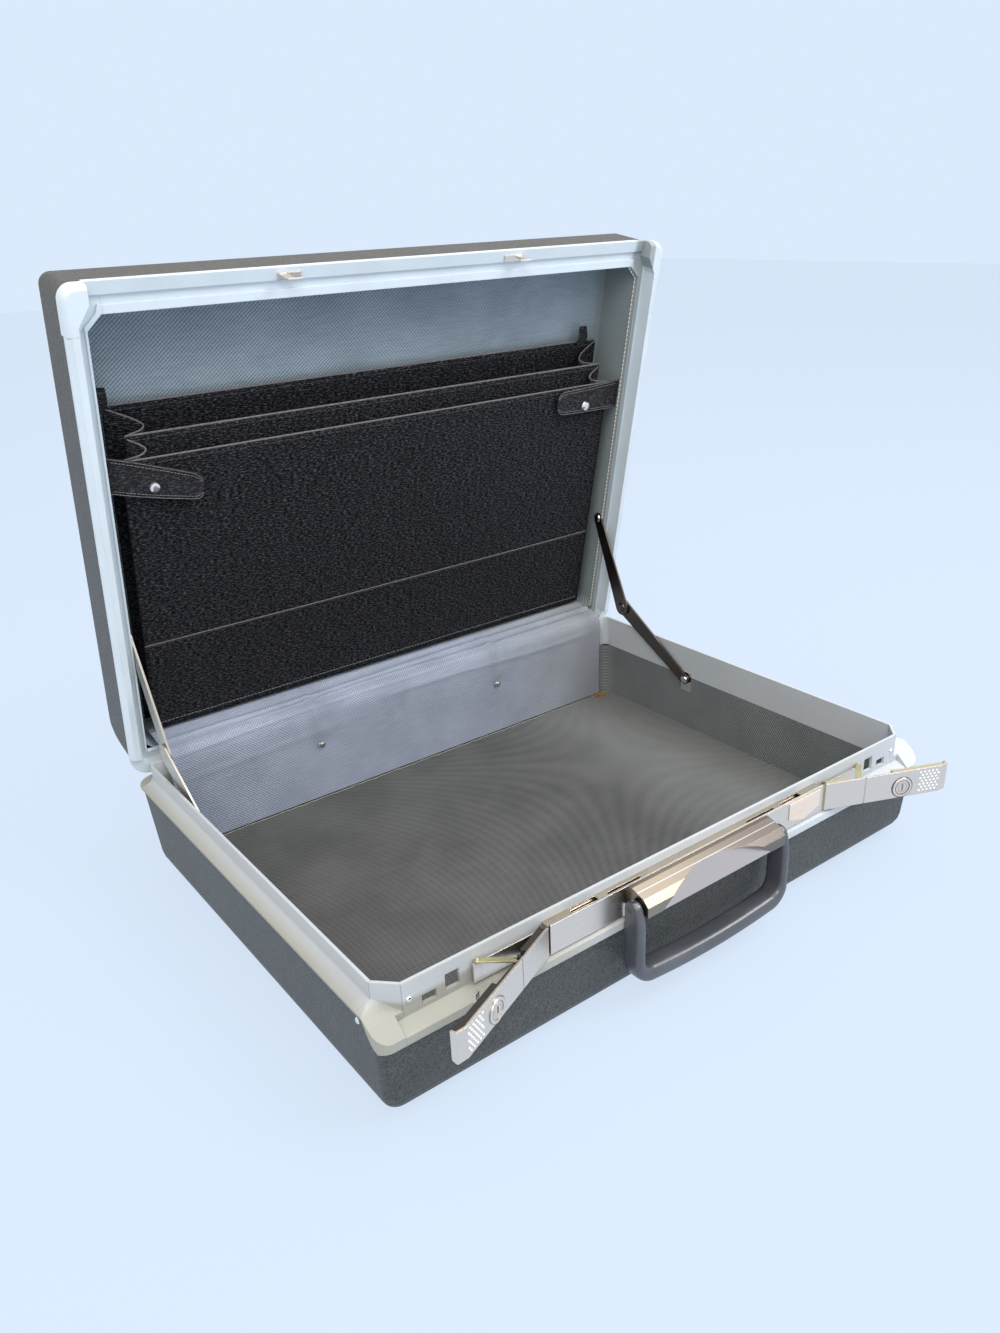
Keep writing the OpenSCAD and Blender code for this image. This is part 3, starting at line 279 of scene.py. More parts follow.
# %% Metal finishes
def plated(name, colour, rough, grain=(30, 900, 900), streak=0.16, soften=0.0004, tint=None, metal=1.0):
    """Brushed metal: grain stretches the marks, streak is how dark they are, and tint colours the clouds."""
    f = Finish(name, metallic=metal, roughness=rough)
    brush = f.noise(f.place(scale=grain), 1.0, 4.0)
    cloud = f.noise(f.place(), 30, 4.0)
    dark = shade(colour, 1 - streak)
    c = f.mix(brush, dark, colour)
    f.set("Base Color", f.mix(cloud.step(0.5, 0.8) * 0.3, c, tint or dark))
    f.set("Roughness", brush * 0.08 + cloud * 0.1 + (rough - 0.09))
    f.bump(brush, 0.00001, 0.15, soften)
    return f


nickel = plated("satin_nickel", (234, 223, 212), 0.28, streak=0.08)
channel = plated("latch_channel_plate", (206, 196, 180), 0.2, tint=(176, 152, 116))
badge = plated("badge_plate", (232, 214, 198), 0.34, metal=0.4)
steel = plated("dark_stay_steel", (118, 110, 104), 0.32, grain=(700, 60, 60), streak=0.3)
brass = plated("brass_link", (214, 206, 160), 0.32, streak=0.2)
# painted highlight: the grip diamonds are near white and barely metallic, to look lit
diamond = plated("painted_highlight_diamonds", (244, 242, 238), 0.3, streak=0.04, metal=0.2)
chrome = plated("polished_stud", (232, 232, 232), 0.14, streak=0.05, soften=0)
hinge_metal = plated("hinge_leaf", (206, 198, 176), 0.35)

# %% [markdown]
# The shield's flat facet is paler than its golden top. Its plane is written as a distance, and the
# colour changes where that distance is nil. The top is darker towards its right end, a painted
# reflection of a darker part of the room. The lever carriers are dark on the left and have a painted
# cream light on the right, and the stays have painted light on the left instead.

# %% Metals with a change of tone
FACET_Y, FACET_Z = -0.1850, 0.0664
FACET_OUT = (-0.809, 0.588)
golden = plated("polished_shield", (160, 149, 133), 0.24, tint=(148, 135, 114))
# painted reflection: the top darkens towards its right end
golden.fade(golden.rightwards(-0.045, 0.05) * 0.85, (124, 117, 112))
_, y, z = golden.split(golden.place())
off_facet = ((y - FACET_Y) * FACET_OUT[0] + (z - FACET_Z) * FACET_OUT[1]).math("ABSOLUTE")
golden.fade(1 - off_facet.step(0.0001, 0.0003), (186, 186, 192))
carrier = plated("lever_carrier_steel", (96, 90, 84), 0.42, streak=0.3)
# painted light: the right carrier turns cream
carrier.fade(carrier.rightwards(-0.02, 0.02), (206, 200, 168))
# painted light: the stays on the left turn pale
steel.fade(1 - steel.rightwards(-0.2, -0.1), (196, 190, 180))

# %% [markdown]
# ## Woven linings
# Cloth is glued to the floor board and to the walls. A plain weave is two sets of threads at right
# angles, and the product of one sine along each set tells which lies on top. A twill is one slanted
# wave with a faint one across it. A full wave is 2.4 to 3 mm long, and a slow noise keeps the tone from
# being even. Over the floor faint bands bend away from one middle, as when two nets lie over each other
# at a slight angle. Each band is a hyperbola, on which the product of the distances from two crossing
# lines is the same.

# %% Woven finish
BAND_TURN, BAND_CURVE = 0.635, 5600
BAND_MIDDLE = (0.0672, 0.1128)


def woven(name, thread, gap, pitch, turn=(0, 0, 0), uv=False, twill=False, bands=0.0):
    """Cloth whose full wave is pitch metres long; bands is how strongly those of the floor show."""
    f = Finish(name, roughness=0.85, specular_ior_level=0.2)
    k = 2 * pi / pitch
    p = f.split(f.place(uv=uv, scale=(k, k, k), turn=turn))
    if twill:
        a, b = p[0] + p[1], p[2]
        weave = (a - b).wave() * 0.38 + (a + b).wave() * 0.12 + 0.5
    else:
        weave = p[0].wave() * p[1].wave() * 0.5 + 0.5
    slow = f.noise(f.place(uv=uv), 18, 4.0)
    yarn = f.noise(f.place(uv=uv, scale=(60, 1500, 1500)), 1.0, 2.0)
    c = f.mix((weave * 0.75 + yarn * 0.5).clip(), gap, thread)
    if bands:
        u, v, _ = f.split(f.place(turn=(0, 0, BAND_TURN)))
        phase = (u - BAND_MIDDLE[0]) * (v - BAND_MIDDLE[1]) * BAND_CURVE
        c = f.mix(phase.wave() * bands + bands, c, thread)
    f.set("Base Color", f.mix(slow.step(0.3, 0.8) * 0.3, c, shade(gap, 0.7)))
    f.set("Roughness", yarn * 0.15 + 0.77)
    f.bump(weave + yarn * 0.4, pitch * 0.16, 0.8)
    return f


floor_cloth = woven("floor_cloth", (103, 103, 101), (26, 27, 29), 0.0025, turn=(0, 0, 0.5), bands=0.17)
wall_cloth = woven("base_wall_cloth", (132, 136, 134), (78, 84, 85), 0.0030, twill=True)
lid_cloth = woven("lid_cloth", (166, 178, 186), (80, 94, 104), 0.0030, twill=True)
cover_cloth = woven("hinge_cover_cloth", (174, 181, 196), (86, 96, 112), 0.0024, uv=True)
# painted light: the floor cloth turns lighter towards the right
floor_cloth.fade(floor_cloth.rightwards(0.06, 0.20) * 0.35, (150, 152, 148))
# painted shade: the lining by the right rail's inner lip turns darker
lid_cloth.fade(lid_cloth.rightwards(0.205, 0.210) * 0.35, (132, 136, 116))
# painted shade: the hinge cover turns darker towards its right end
cover_cloth.fade(cover_cloth.rightwards(0.02, 0.20) * 0.5, (132, 130, 124))

# %% [markdown]
# ## Leatherette and thread
# The organizer is black coated cloth whose grain is a net of short ridges, stretched sideways. Noise
# that is squeezed in one direction gives the ridges, and a finer one paints a highlight on a few tops.
# Threads wander between two tones, as do the edges, partly worn and partly a painted highlight.


# %% Leatherette and small trims
def leatherette(name, hill_top, glint_top, valley, uv=True):
    """Ridged black hide, mapped on the piece's own map or on object coordinates."""
    f = Finish(name, roughness=0.42, specular_ior_level=0.16)
    at = f.place(uv=uv, scale=(1, 3.4, 3.4))
    ridge = f.noise(at, 330, 2.0, 0.6).step(0.42, 0.60)
    slow = f.noise(at, 25, 3.0)
    # painted highlight: a few ridge tops get the pale glint colour
    glint = f.noise(at, 420, 1.0).step(0.46, 0.62) * ridge
    f.set("Base Color", f.mix(glint, f.mix(ridge, valley, hill_top), glint_top))
    f.set("Roughness", slow * 0.10 + (1 - ridge) * 0.35 + 0.27)
    f.bump(ridge + slow * 0.2, 0.0008)
    return f


def two_toned(name, rough, scale, low, high):
    """A finish that wanders between two screen colours, as a noise of that scale does."""
    f = Finish(name, roughness=rough)
    f.set("Base Color", f.mix(f.noise(f.place(), scale), low, high))
    return f


hide = leatherette("black_leatherette", (24, 25, 29), (82, 83, 90), (2, 2, 3))
strap_hide = leatherette("strap_leatherette", (46, 45, 49), (74, 73, 78), (28, 28, 30), uv=False)
# pale edges: partly wear, partly painted highlight
rim_hide = two_toned("edge_wear_and_highlight_leatherette", 0.5, 400, (30, 29, 31), (122, 118, 118))
dark_thread = two_toned("black_thread", 0.7, 900, (34, 33, 34), (84, 82, 80))
thread = two_toned("grey_thread", 0.7, 900, (96, 92, 88), (156, 150, 144))
cream_thread = two_toned("cream_piping", 0.75, 700, (196, 192, 178), (236, 233, 222))
seam_thread = two_toned("floor_seam_thread", 0.8, 500, (96, 94, 86), (186, 180, 164))
ochre = two_toned("frayed_jute", 0.9, 900, (120, 88, 48), (186, 148, 92))

# %% [markdown]
# ## Moulded handle plastic
# The handle is smooth, dark and half glossy, with faint rubbed patches along the grip.

# %% Handle finish
grip_plastic = Finish("handle_plastic", roughness=0.2, specular_ior_level=0.9)
at = grip_plastic.place()
rub = grip_plastic.noise(at, 45, 5.0)
grip_plastic.set("Base Color", grip_plastic.mix(rub.step(0.4, 0.8) * 0.6, (64, 66, 71), (84, 86, 91)))
grip_plastic.set("Roughness", rub * 0.14 + 0.24)
grip_plastic.bump(grip_plastic.noise(at, 900, 2.0), 0.00003, 0.4)

# %% Give the CAD pieces their finishes
FINISHES = {
    shell: ["base_shell", "lid_shell"],
    lid_enamel: ["lid_frame_front", "lid_frame_left", "lid_frame_right", "lid_frame_rear", "lid_corner_left",
                 "lid_corner_right"],
    base_enamel: ["base_frame_front", "base_frame_left", "base_frame_right", "base_frame_rear",
                  "base_corner_left", "base_corner_right"],
    floor_cloth: ["floor_board"],
    wall_cloth: ["base_wall_lining"],
    lid_cloth: ["lid_lining"],
    hide: ["organizer_back", "organizer_middle", "organizer_front", "organizer_tabs", "gusset_left",
           "gusset_right", "strap_left", "strap_right"],
    nickel: ["cover_plate", "lever_left", "lever_right", "lock_bezel_left", "lock_bezel_right",
             "latch_slide_left", "latch_slide_right", "strikes", "key_plug_left", "key_plug_right"],
    channel: ["latch_channel"],
    golden: ["handle_shield"],
    badge: ["badge_plate"],
    steel: ["stay_lower_left", "stay_lower_right", "stay_upper_left", "stay_upper_right", "hinge_pin",
            "handle_pins", "lever_pins"],
    carrier: ["lever_carrier_left", "lever_carrier_right"],
    brass: ["latch_link_left", "latch_link_right"],
    chrome: ["cover_studs", "strap_studs", "stay_base_studs", "stay_lid_studs", "base_rivets", "lid_rivets"],
    hinge_metal: ["hinge_leaf_base", "hinge_leaf_lid"],
    cover_cloth: ["hinge_cover"],
    grip_plastic: ["handle"],
}
for finish, names in FINISHES.items():
    for name in names:
        mesh = nodes[name].data
        mesh.materials.clear()
        mesh.materials.append(finish.material)
print("dressed nodes:", sum(map(len, FINISHES.values())))

# %% [markdown]
# ## Surfaces from grids
# A soft piece is a grid of points: each row and column is one value of a surface's two parameters. The
# grid is computed as whole arrays, and one helper turns it into a mesh with a map in metres, which the
# weave and the grain follow.


# %% Grid to mesh
def grid_faces(rows, columns, wrap):
    """Corner numbers of the quads of a grid; where it wraps, its last column joins its first."""
    i, j = np.meshgrid(np.arange(rows - 1), np.arange(columns if wrap else columns - 1), indexing="ij")
    here, ahead, beside = i * columns, (i + 1) * columns, (j + 1) % columns
    return np.stack([here + j, ahead + j, ahead + beside, here + beside], -1).reshape(-1, 4)


def make_piece(name, points, faces, body, finish, slot, uv=None, smooth=True):
    """A mesh piece from points in metres and faces, riding on a body."""
    mesh = bpy.data.meshes.new(name)
    corners = np.asarray(points, float).reshape(-1, 3).tolist()
    mesh.from_pydata(corners, [], [list(map(int, f)) for f in faces])
    if uv is not None:
        layer = mesh.uv_layers.new(name="cloth_map")
        corner = np.zeros(len(mesh.loops), np.int64)
        mesh.loops.foreach_get("vertex_index", corner)
        layer.data.foreach_set("uv", np.asarray(uv, float).reshape(-1, 2)[corner].ravel())
    mesh.polygons.foreach_set("use_smooth", np.full(len(mesh.polygons), smooth))
    mesh.materials.append(finish.material)
    piece = bpy.data.objects.new(name, mesh)
    bpy.context.scene.collection.objects.link(piece)
    if body:
        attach(piece, body)
    return piece


def sheet_piece(name, grid, body, finish, slot, thick):
    """A sheet from a grid, given its thickness, with a map that measures along its two directions."""
    du = np.linalg.norm(np.diff(grid, axis=0), axis=-1)
    dv = np.linalg.norm(np.diff(grid, axis=1), axis=-1)
    u = np.vstack([np.zeros((1, grid.shape[1])), np.cumsum(du, 0)])
    v = np.hstack([np.zeros((grid.shape[0], 1)), np.cumsum(dv, 1)])
    uv = np.stack([u.mean(1)[:, None] + 0 * v, v], -1)
    piece = make_piece(name, grid, grid_faces(*grid.shape[:2], False), body, finish, slot, uv)
    wall = piece.modifiers.new("thickness", "SOLIDIFY")
    wall.thickness, wall.offset = thick, 0
    return piece


# %% [markdown]
# A cord, piping or rolled edge is a round or flat profile carried along a path. At each point the
# path's direction and a fixed side direction make the profile's two axes.


# %% Profile along a path
def sweep(path, profile, side, scale=None):
    """Grid of a profile (x, y) carried along a path; x lies along 'side' made square to the path."""
    path = np.asarray(path, float)
    ahead = np.gradient(path, axis=0)
    ahead /= np.linalg.norm(ahead, axis=1, keepdims=True)
    side = np.broadcast_to(np.asarray(side, float), path.shape)
    side = side - (side * ahead).sum(1, keepdims=True) * ahead
    side /= np.linalg.norm(side, axis=1, keepdims=True)
    other = np.cross(ahead, side)
    scale = np.ones((len(path), 2)) if scale is None else np.asarray(scale, float)
    x = profile[None, :, 0] * scale[:, :1]
    y = profile[None, :, 1] * scale[:, 1:]
    return path[:, None] + x[..., None] * side[:, None] + y[..., None] * other[:, None]


def ring(rx, ry, n, power=2.0):
    """Outline of a rounded bar: |x/rx|^power + |y/ry|^power = 1 at n points."""
    t = np.arange(n) * 2 * pi / n
    c, s = np.cos(t), np.sin(t)
    return np.stack([rx * np.sign(c) * abs(c) ** (2 / power), ry * np.sign(s) * abs(s) ** (2 / power)], -1)


def capped(grid):
    """Points and faces of a tube grid with both ends closed by fans."""
    n, m = grid.shape[:2]
    points = np.vstack([grid.reshape(-1, 3), grid[0].mean(0), grid[-1].mean(0)])
    faces = grid_faces(n, m, True).tolist()
    k = np.arange(m)
    faces += np.stack([np.full(m, n * m), (k + 1) % m, k], -1).tolist()
    faces += np.stack([np.full(m, n * m + 1), (n - 1) * m + k, (n - 1) * m + (k + 1) % m], -1).tolist()
    return points, faces


def cord(path, side, rx, ry, n=6):
    """(points, faces) of a closed bar along a path in metres, with half widths rx along side and ry in mm."""
    return capped(sweep(path, ring(rx, ry, n) / 1000, side))


def merged(parts):
    """Several (points, faces) as one mesh."""
    points, faces, start = [], [], 0
    for p, f in parts:
        points.append(p)
        faces += [[i + start for i in face] for face in f]
        start += len(p)
    return np.vstack(points), faces


# %% [markdown]
# ## The lid's own coordinates
# The lid is drawn as if it lay flat: x along the hinge, s out from the hinge and h up into the lid. One
# formula turns that by the lid's angle to where the open lid stands.

# %% From lid coordinates to the row frame
LID_OPEN = radians(79)
HINGE_Y, HINGE_Z = 167.1, 73.7


def in_lid(x, s, h):
    """x, s and h in mm to metres: y = HINGE_Y - s cos a + h sin a, z = HINGE_Z + s sin a + h cos a."""
    x, s, h = np.broadcast_arrays(np.asarray(x, float), s, h)
    y = HINGE_Y - s * cos(LID_OPEN) + h * sin(LID_OPEN)
    z = HINGE_Z + s * sin(LID_OPEN) + h * cos(LID_OPEN)
    return np.stack([x, y, z], -1) / 1000


LID_ALONG = in_lid(0, 1000, 0) - in_lid(0, 0, 0)  # unit vector away from the hinge
LID_OUT = in_lid(0, 0, -1000) - in_lid(0, 0, 0)  # unit vector out of the lid, towards who looks into it
UP = (0, 0, 1)

# %% [markdown]
# ## Stitches
# A seam is a row of short thread loops. Each stitch is a six-sided bar with pinched ends, a few dozen
# faces in all, laid along the path at an even pitch.


# %% Stitches along a path
def stitches(path, pitch=3.0, length=2.2, r=0.32, out=LID_OUT):
    """(points, faces) of stitches along a path in metres; out points away from the cloth. Sizes in mm."""
    along = np.r_[0, np.cumsum(np.linalg.norm(np.diff(path, axis=0), axis=1))]
    starts = np.arange(0.4 * pitch, along[-1] * 1000 - length, pitch) / 1000
    t = np.linspace(0, 1, 5)
    reach = starts[:, None] + t[None] * length / 1000
    line = np.stack([np.interp(reach, along, path[:, k]) for k in range(3)], -1)
    lift = np.sin(pi * t)[None, :, None] * 0.2e-3 * out
    pinch = np.clip(np.sin(pi * (t * 0.8 + 0.1)), 0.5, 1)
    scale = np.stack([pinch, pinch], -1)
    return merged([capped(sweep(p, ring(r, r, 6) / 1000, out, scale)) for p in line + lift])


# %% [markdown]
# ## Organizer panels
# Three panels of leatherette over card stand in the lid, one behind another. Each is a sheet between
# two heights that swells a little between its edges, so that it doesn't look like a plate. The upper
# edge is bound and stitched, and the front panel has a cross seam.

# %% Panel surfaces
PANEL_X, PANEL_THICK = 204.0, 1.3
# Lower edge s and h, upper edge s and h, swell and half length of each panel, in mm
PANELS = {
    "front": (20.3, 20.5, 227.0, 16.5, 1.0, PANEL_X),
    "middle": (20.3, 30.0, 241.0, 22.5, 0.7, 197.4),
    "back": (18.6, 39.5, 255.5, 39.5, 0.5, PANEL_X),
}


def panel_point(which, x, s):
    """A panel's visible face: h = h0 + (h1 - h0) t - swell sin(pi t) (1 - (x/PANEL_X)^2) + a few waves."""
    s0, h0, s1, h1, swell, _ = PANELS[which]
    t = (s - s0) / (s1 - s0)
    bow = swell * np.sin(pi * np.clip(t, 0, 1)) * (1 - (x / PANEL_X) ** 2)
    waves = 0.25 * np.sin(x / 47 + 2 * t) * np.sin(5 * t + x / 90) * np.clip(12 * t * (1 - t), 0, 1)
    return in_lid(x, s, h0 + (h1 - h0) * t - bow + waves)


def panel(which):
    """The sheet behind panel_point, half its thickness further in, so that its face lies there."""
    s0, _, s1, _, _, half = PANELS[which]
    x, s = np.meshgrid(np.linspace(-half, half, 90), np.linspace(s0, s1, 50), indexing="ij")
    grid = panel_point(which, x, s) - LID_OUT * PANEL_THICK / 2000
    piece = sheet_piece(f"panel_{which}", grid, "lid", hide, "leatherette", PANEL_THICK / 1000)
    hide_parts(f"organizer_{which}")
    return piece


print("panels:", [len(panel(which).data.polygons) for which in PANELS])

# %% Bound edges and seams of the panels
CROSS_SEAM, HEM, FOOT_SEAM = 90.5, 91.8, 25.0


def across(which, s, half=PANEL_X):
    """Line along x over a panel's face, at a distance s from the hinge."""
    return panel_point(which, np.linspace(-half, half, 80), np.full(80, float(s)))


seams, edges = [], []
for which, (_, _, top, _, _, half) in PANELS.items():
    edges.append(cord(across(which, top - 0.2, half) - LID_OUT * 0.0006, UP, 0.75, 0.7, 8))
    seams.append(stitches(across(which, top - 3.4, half) + LID_OUT * 0.0002, r=0.25))
seams.append(stitches(across("front", CROSS_SEAM) + LID_OUT * 0.0001, pitch=2.6, r=0.22))
foot_row = stitches(across("front", FOOT_SEAM) + LID_OUT * 0.0001, r=0.25)
edges.append(cord(across("front", HEM) + LID_OUT * 0.0001, UP, 0.45, 0.3, 8))
make_piece("panel_edges", *merged(edges), "lid", rim_hide, "leatherette")
make_piece("panel_stitching", *merged(seams), "lid", dark_thread, "leatherette")
make_piece("panel_foot_stitching", *foot_row, "lid", thread, "leatherette")

# %% [markdown]
# ## Gussets
# At each end a strip of leatherette joins the panels and folds like an accordion. Its top edge is a
# zigzag between the panels' corners and the fold tips, rounded by a smooth curve, and the folds grow
# from the foot up.


# %% Gusset surfaces
def smooth_line(knots, n):
    """n points on a Catmull-Rom curve through the knots."""
    k = np.asarray(knots, float)
    p = np.vstack([2 * k[0] - k[1], k, 2 * k[-1] - k[-2]])
    t = np.linspace(0, len(k) - 1 - 1e-9, n)
    i = t.astype(int)
    f = (t - i)[:, None]
    a, b, c, d = p[i], p[i + 1], p[i + 2], p[i + 3]
    return 0.5 * (2 * b + (c - a) * f + (2 * a - 5 * b + 4 * c - d) * f**2 + (3 * b - a - 3 * c + d) * f**3)


# Knots (x, s, h) in mm, from the lid's back to its front
GUSSET_FOOT = [
    (203.8, 21, 38.6), (199, 21, 37.6), (196, 21, 36.3), (195, 21, 34.6), (196, 21, 33),
    (199, 21, 31.8), (202, 21, 30.4), (200, 21, 29), (198, 21, 28), (197, 21, 26.8),
    (198, 21, 25.4), (201, 21, 24.4), (203.8, 21, 23.4),
]
GUSSET_TOP = [
    (204.2, 254.5, 38.6), (196, 250.5, 37.6), (187, 246.5, 35), (182.6, 243.5, 31.2),
    (186, 241.5, 28), (193, 240.6, 26), (197.6, 240, 24), (195.5, 238, 22.6),
    (189.5, 234.5, 21.8), (186.4, 231.5, 20.4), (190, 229.2, 19.2), (197, 228, 18.6),
    (203.8, 227.2, 18.2),
]


def gusset(side, name):
    """foot + (top - foot) v, less a small |sin sin| sag in x; gives its rim and a line just below it."""
    foot, top = smooth_line(GUSSET_FOOT, 110), smooth_line(GUSSET_TOP, 110)
    v = np.linspace(0, 1, 60)
    grid = foot[:, None] + (top - foot)[:, None] * v[None, :, None]
    sag = 0.4 * np.sin(np.linspace(0, 16, 110))[:, None] * np.sin(14 * v)
    grid = in_lid(side * (grid[..., 0] - abs(sag)), grid[..., 1], grid[..., 2])
    piece = sheet_piece(f"gusset_sheet_{name}", grid, "lid", hide, "leatherette", 0.0009)
    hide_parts(f"gusset_{name}")
    return grid[:, -1], grid[:, -3]


trims, hems = [], []
for side, name in ((-1, "left"), (1, "right")):
    rim, below = gusset(side, name)
    trims.append(cord(rim, UP, 0.6, 0.6, 8))
    hems.append(stitches(below + LID_OUT * 0.0006, r=0.22))
make_piece("gusset_edges", *merged(trims), "lid", rim_hide, "leatherette")
make_piece("gusset_stitching", *merged(hems), "lid", dark_thread, "leatherette")

# %% [markdown]
# ## Straps
# A strap runs from each side wall over the front panel and snaps onto a stud. It is a flat bar whose
# width follows the distance along it and closes in a blunt, rounded tip. Two rows of thread and two
# rims follow its edges; their pale tone is partly wear and partly painted highlight.

# %% Strap surfaces
STRAP_ROOT_X, STRAP_ROOT_WIDTH, STRAP_H = 214.6, 23, 14.3


def strap(name, side, tip_x, root_s, drop, low_drop, lift):
    """Bar along x = root - (root - tip) t, whose upper edge is s = root_s - drop (t / 0.8)^1.15."""
    t = 1 - (1 - np.linspace(0, 1, 80)) ** 1.5
    x = STRAP_ROOT_X - (STRAP_ROOT_X - tip_x) * t
    upper = root_s - drop * (t / 0.8) ** 1.15
    lower = root_s - STRAP_ROOT_WIDTH - low_drop * t**0.9
    nose = np.clip(1 - (np.clip(t - 0.86, 0, 1) / 0.14) ** 3, 0, 1) ** 0.5
    middle = (upper + lower) / 2
    half = np.maximum((upper - lower) / 2 * (0.25 + 0.75 * nose), 0.4)
    h = STRAP_H - lift * np.sin(pi * t) + 1.6 * (1 - t) ** 3
    flat = np.stack([half, np.ones_like(half)], -1)
    bar = sweep(in_lid(side * x, middle, h), ring(1, 1, 28, 4.5) / 1000, LID_ALONG, flat)
    piece = make_piece(f"strap_of_{name}", *capped(bar), "lid", strap_hide, "leatherette")
    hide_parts(f"strap_{name}")
    rows, rims = [], []
    for edge in (-1, 1):
        rims.append(cord(in_lid(side * x, middle + edge * (half - 0.3), h - 0.9)[:-2], UP, 0.3, 0.3))
        line = in_lid(side * x, middle + edge * (half - 2.2), h - 1.0)[2:-4]
        rows.append(stitches(line, pitch=2.4, length=1.9, r=0.2))
    return rows, rims


left_rows, left_rims = strap("left", -1, 153.2, 232, 16, 15, 0.8)
right_rows, right_rims = strap("right", 1, 149.0, 228, 2, -2, 0.5)
make_piece("strap_stitching", *merged(left_rows + right_rows), "lid", thread, "leatherette")
make_piece("strap_edges", *merged(left_rims + right_rims), "lid", rim_hide, "leatherette")


# %% Loops above the back panel
def loop(x, lean, tall=16):
    """A strip that rises from the back panel, with h = 38.7 - 1.6 sin(pi t)^2, and narrows at its end."""
    t = np.linspace(0, 1, 24)
    path = in_lid(x + lean * t, 251.5 + tall * t, 38.7 - 1.6 * np.sin(pi * t) ** 2)
    scale = np.stack([1 - 0.2 * t**3, 1 + 0 * t], -1)
    return capped(sweep(path, ring(4.6, 0.6, 16, 3.5) / 1000, (1, 0, 0), scale))


both_loops = merged([loop(-206, 1.5), loop(189, 0.5)])
loops = make_piece("organizer_loops", *both_loops, "lid", strap_hide, "leatherette")
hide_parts("organizer_tabs")

# %% [markdown]
# ## Cloth over the hinge
# One sheet runs from the floor up the back wall, over the metal tongue, and to the organizer's foot. It
# was glued loosely, so long creases run across it and two studs pin it. The base shape is a curve
# carried along x; creases are narrow bell curves along wavy lines, and each stud pulls a round dimple
# and pinches the cloth above it into a short fold.

# %% Cover surface
WALL_Y, COVER_X = 156.3, 207.6
COVER_PATH = [  # y and z in mm, from the floor to the organizer's foot
    (WALL_Y - 0.8, 9.9), (WALL_Y - 0.8, 24), (WALL_Y - 0.9, 40), (WALL_Y - 1.4, 60), (WALL_Y - 1.9, 76),
    (WALL_Y - 0.9, 84.5), (WALL_Y + 3.0, 89.4), (WALL_Y + 12, 91.0), (WALL_Y + 24, 93.4), (191.9, 95.6),
]
CREASES = [  # distance up the cloth, tilt, wave, phase, width, height, and where the fold fades
    (94, 0.01, 0.9, 0.3, 2.2, 1.5, -210, 210), (87, -0.008, 1.2, 1.9, 1.8, 1.0, -140, 190),
    (79, 0.015, 0.8, 4.0, 1.8, 0.9, -200, 60), (104, 0.006, 0.7, 2.2, 2.4, 1.1, -60, 210),
    (68, -0.012, 1.4, 0.9, 2.4, 0.6, -20, 200), (58, 0.010, 1.2, 3.1, 3.0, 0.4, -200, -60),
]
STUDS_X, STUD_UP = (-85, 89), 46.3
line = smooth_line([(0, y, z) for y, z in COVER_PATH], 150)
reach = np.r_[0, np.cumsum(np.linalg.norm(np.diff(line, axis=0), axis=1))]
x, k = np.meshgrid(np.linspace(-COVER_X, COVER_X, 320), np.arange(150), indexing="ij")
along = reach[k]
ahead = np.gradient(line, axis=0)
ahead /= np.linalg.norm(ahead, axis=1, keepdims=True)
normal = np.stack([0 * ahead[:, 0], -ahead[:, 2], ahead[:, 1]], -1)


def bell(distance, width):
    """exp(-(distance/width)^2)"""
    return np.exp(-((distance / width) ** 2))


def crease(at, tilt, wave, phase, width, tall, x0, x1):
    """A fold along x: tall bell(along - at - tilt x - wave sin(x / 38 + phase)), faded at x0 and x1."""
    middle = at + tilt * x + wave * np.sin(x / 38 + phase)
    fade = 1 / (1 + np.exp(-(x - x0) / 12)) / (1 + np.exp((x - x1) / 12))
    return tall * fade * bell(along - middle, width)


relief = sum(crease(*values) for values in CREASES)
for stud_x in STUDS_X:
    relief -= 1.1 * bell(x - stud_x, 8) * bell(along - STUD_UP, 6)
    fold = 1.9 * bell(x - stud_x + 4, 4.5) - 0.8 * bell(x - stud_x - 5, 5)
    relief += bell(along - STUD_UP - 30, 17) * fold
relief += 0.25 * np.sin(x / 9 + 0.7 * np.sin(along / 13)) * bell(along - 60, 30)
ends = np.clip(along / 6, 0, 1) * np.clip((reach[-1] - along) / 6, 0, 1)
grid = np.stack([x, line[k, 1], line[k, 2]], -1) + normal[k] * (relief * ends)[..., None]
cover = sheet_piece("hinge_cover_sheet", grid / 1000, None, cover_cloth, "cover_cloth", 0.0006)
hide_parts("hinge_cover")
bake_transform(cover)
print("cover sheet:", round(float(reach[-1]), 1), "mm along its path")

# %% [markdown]
# ## Thread, piping and one frayed corner
# A pale thread shows where the cover meets the floor cloth, and a cream piping finishes the lining
# along the lid's lip. In the right rear corner the jute backing has frayed.

# %% Floor seam, lid piping and frayed corner
LIP_X, LIP_FRONT, LIP_REAR, CHAMFER = 230, 333.2, 12.5, 9
FRAY_X, FRAY_Y, FRAY_Z, FIBRES = 205, 152.6, 9.6, 46
seam_x = np.linspace(-205, 205, 200)
seam_y = 154.3 + 0.25 * np.sin(seam_x / 5.3) + 0.2 * np.sin(seam_x / 2.1)
floor_seam = np.stack([seam_x, seam_y, 9.35 + 0.1 * np.sin(seam_x / 1.7)], -1) / 1000
make_piece("floor_seam", *cord(floor_seam, (0, 1, 0), 0.38, 0.28), "base", seam_thread, "lining")


def lip_line(inset, h):
    """Lid points from hinge to hinge round the lip, inset from its outside, with chamfered corners."""
    x, front = LIP_X - inset, LIP_FRONT - inset
    corners = [(-x, LIP_REAR), (-x, front - CHAMFER), (-x + CHAMFER, front), (x - CHAMFER, front),
               (x, front - CHAMFER), (x, LIP_REAR)]
    legs = [np.linspace(a, b, 60, endpoint=False) for a, b in zip(corners[:-1], corners[1:])]
    p = np.vstack([*legs, corners[-1]])
    return in_lid(p[:, 0], p[:, 1], np.full(len(p), float(h)))


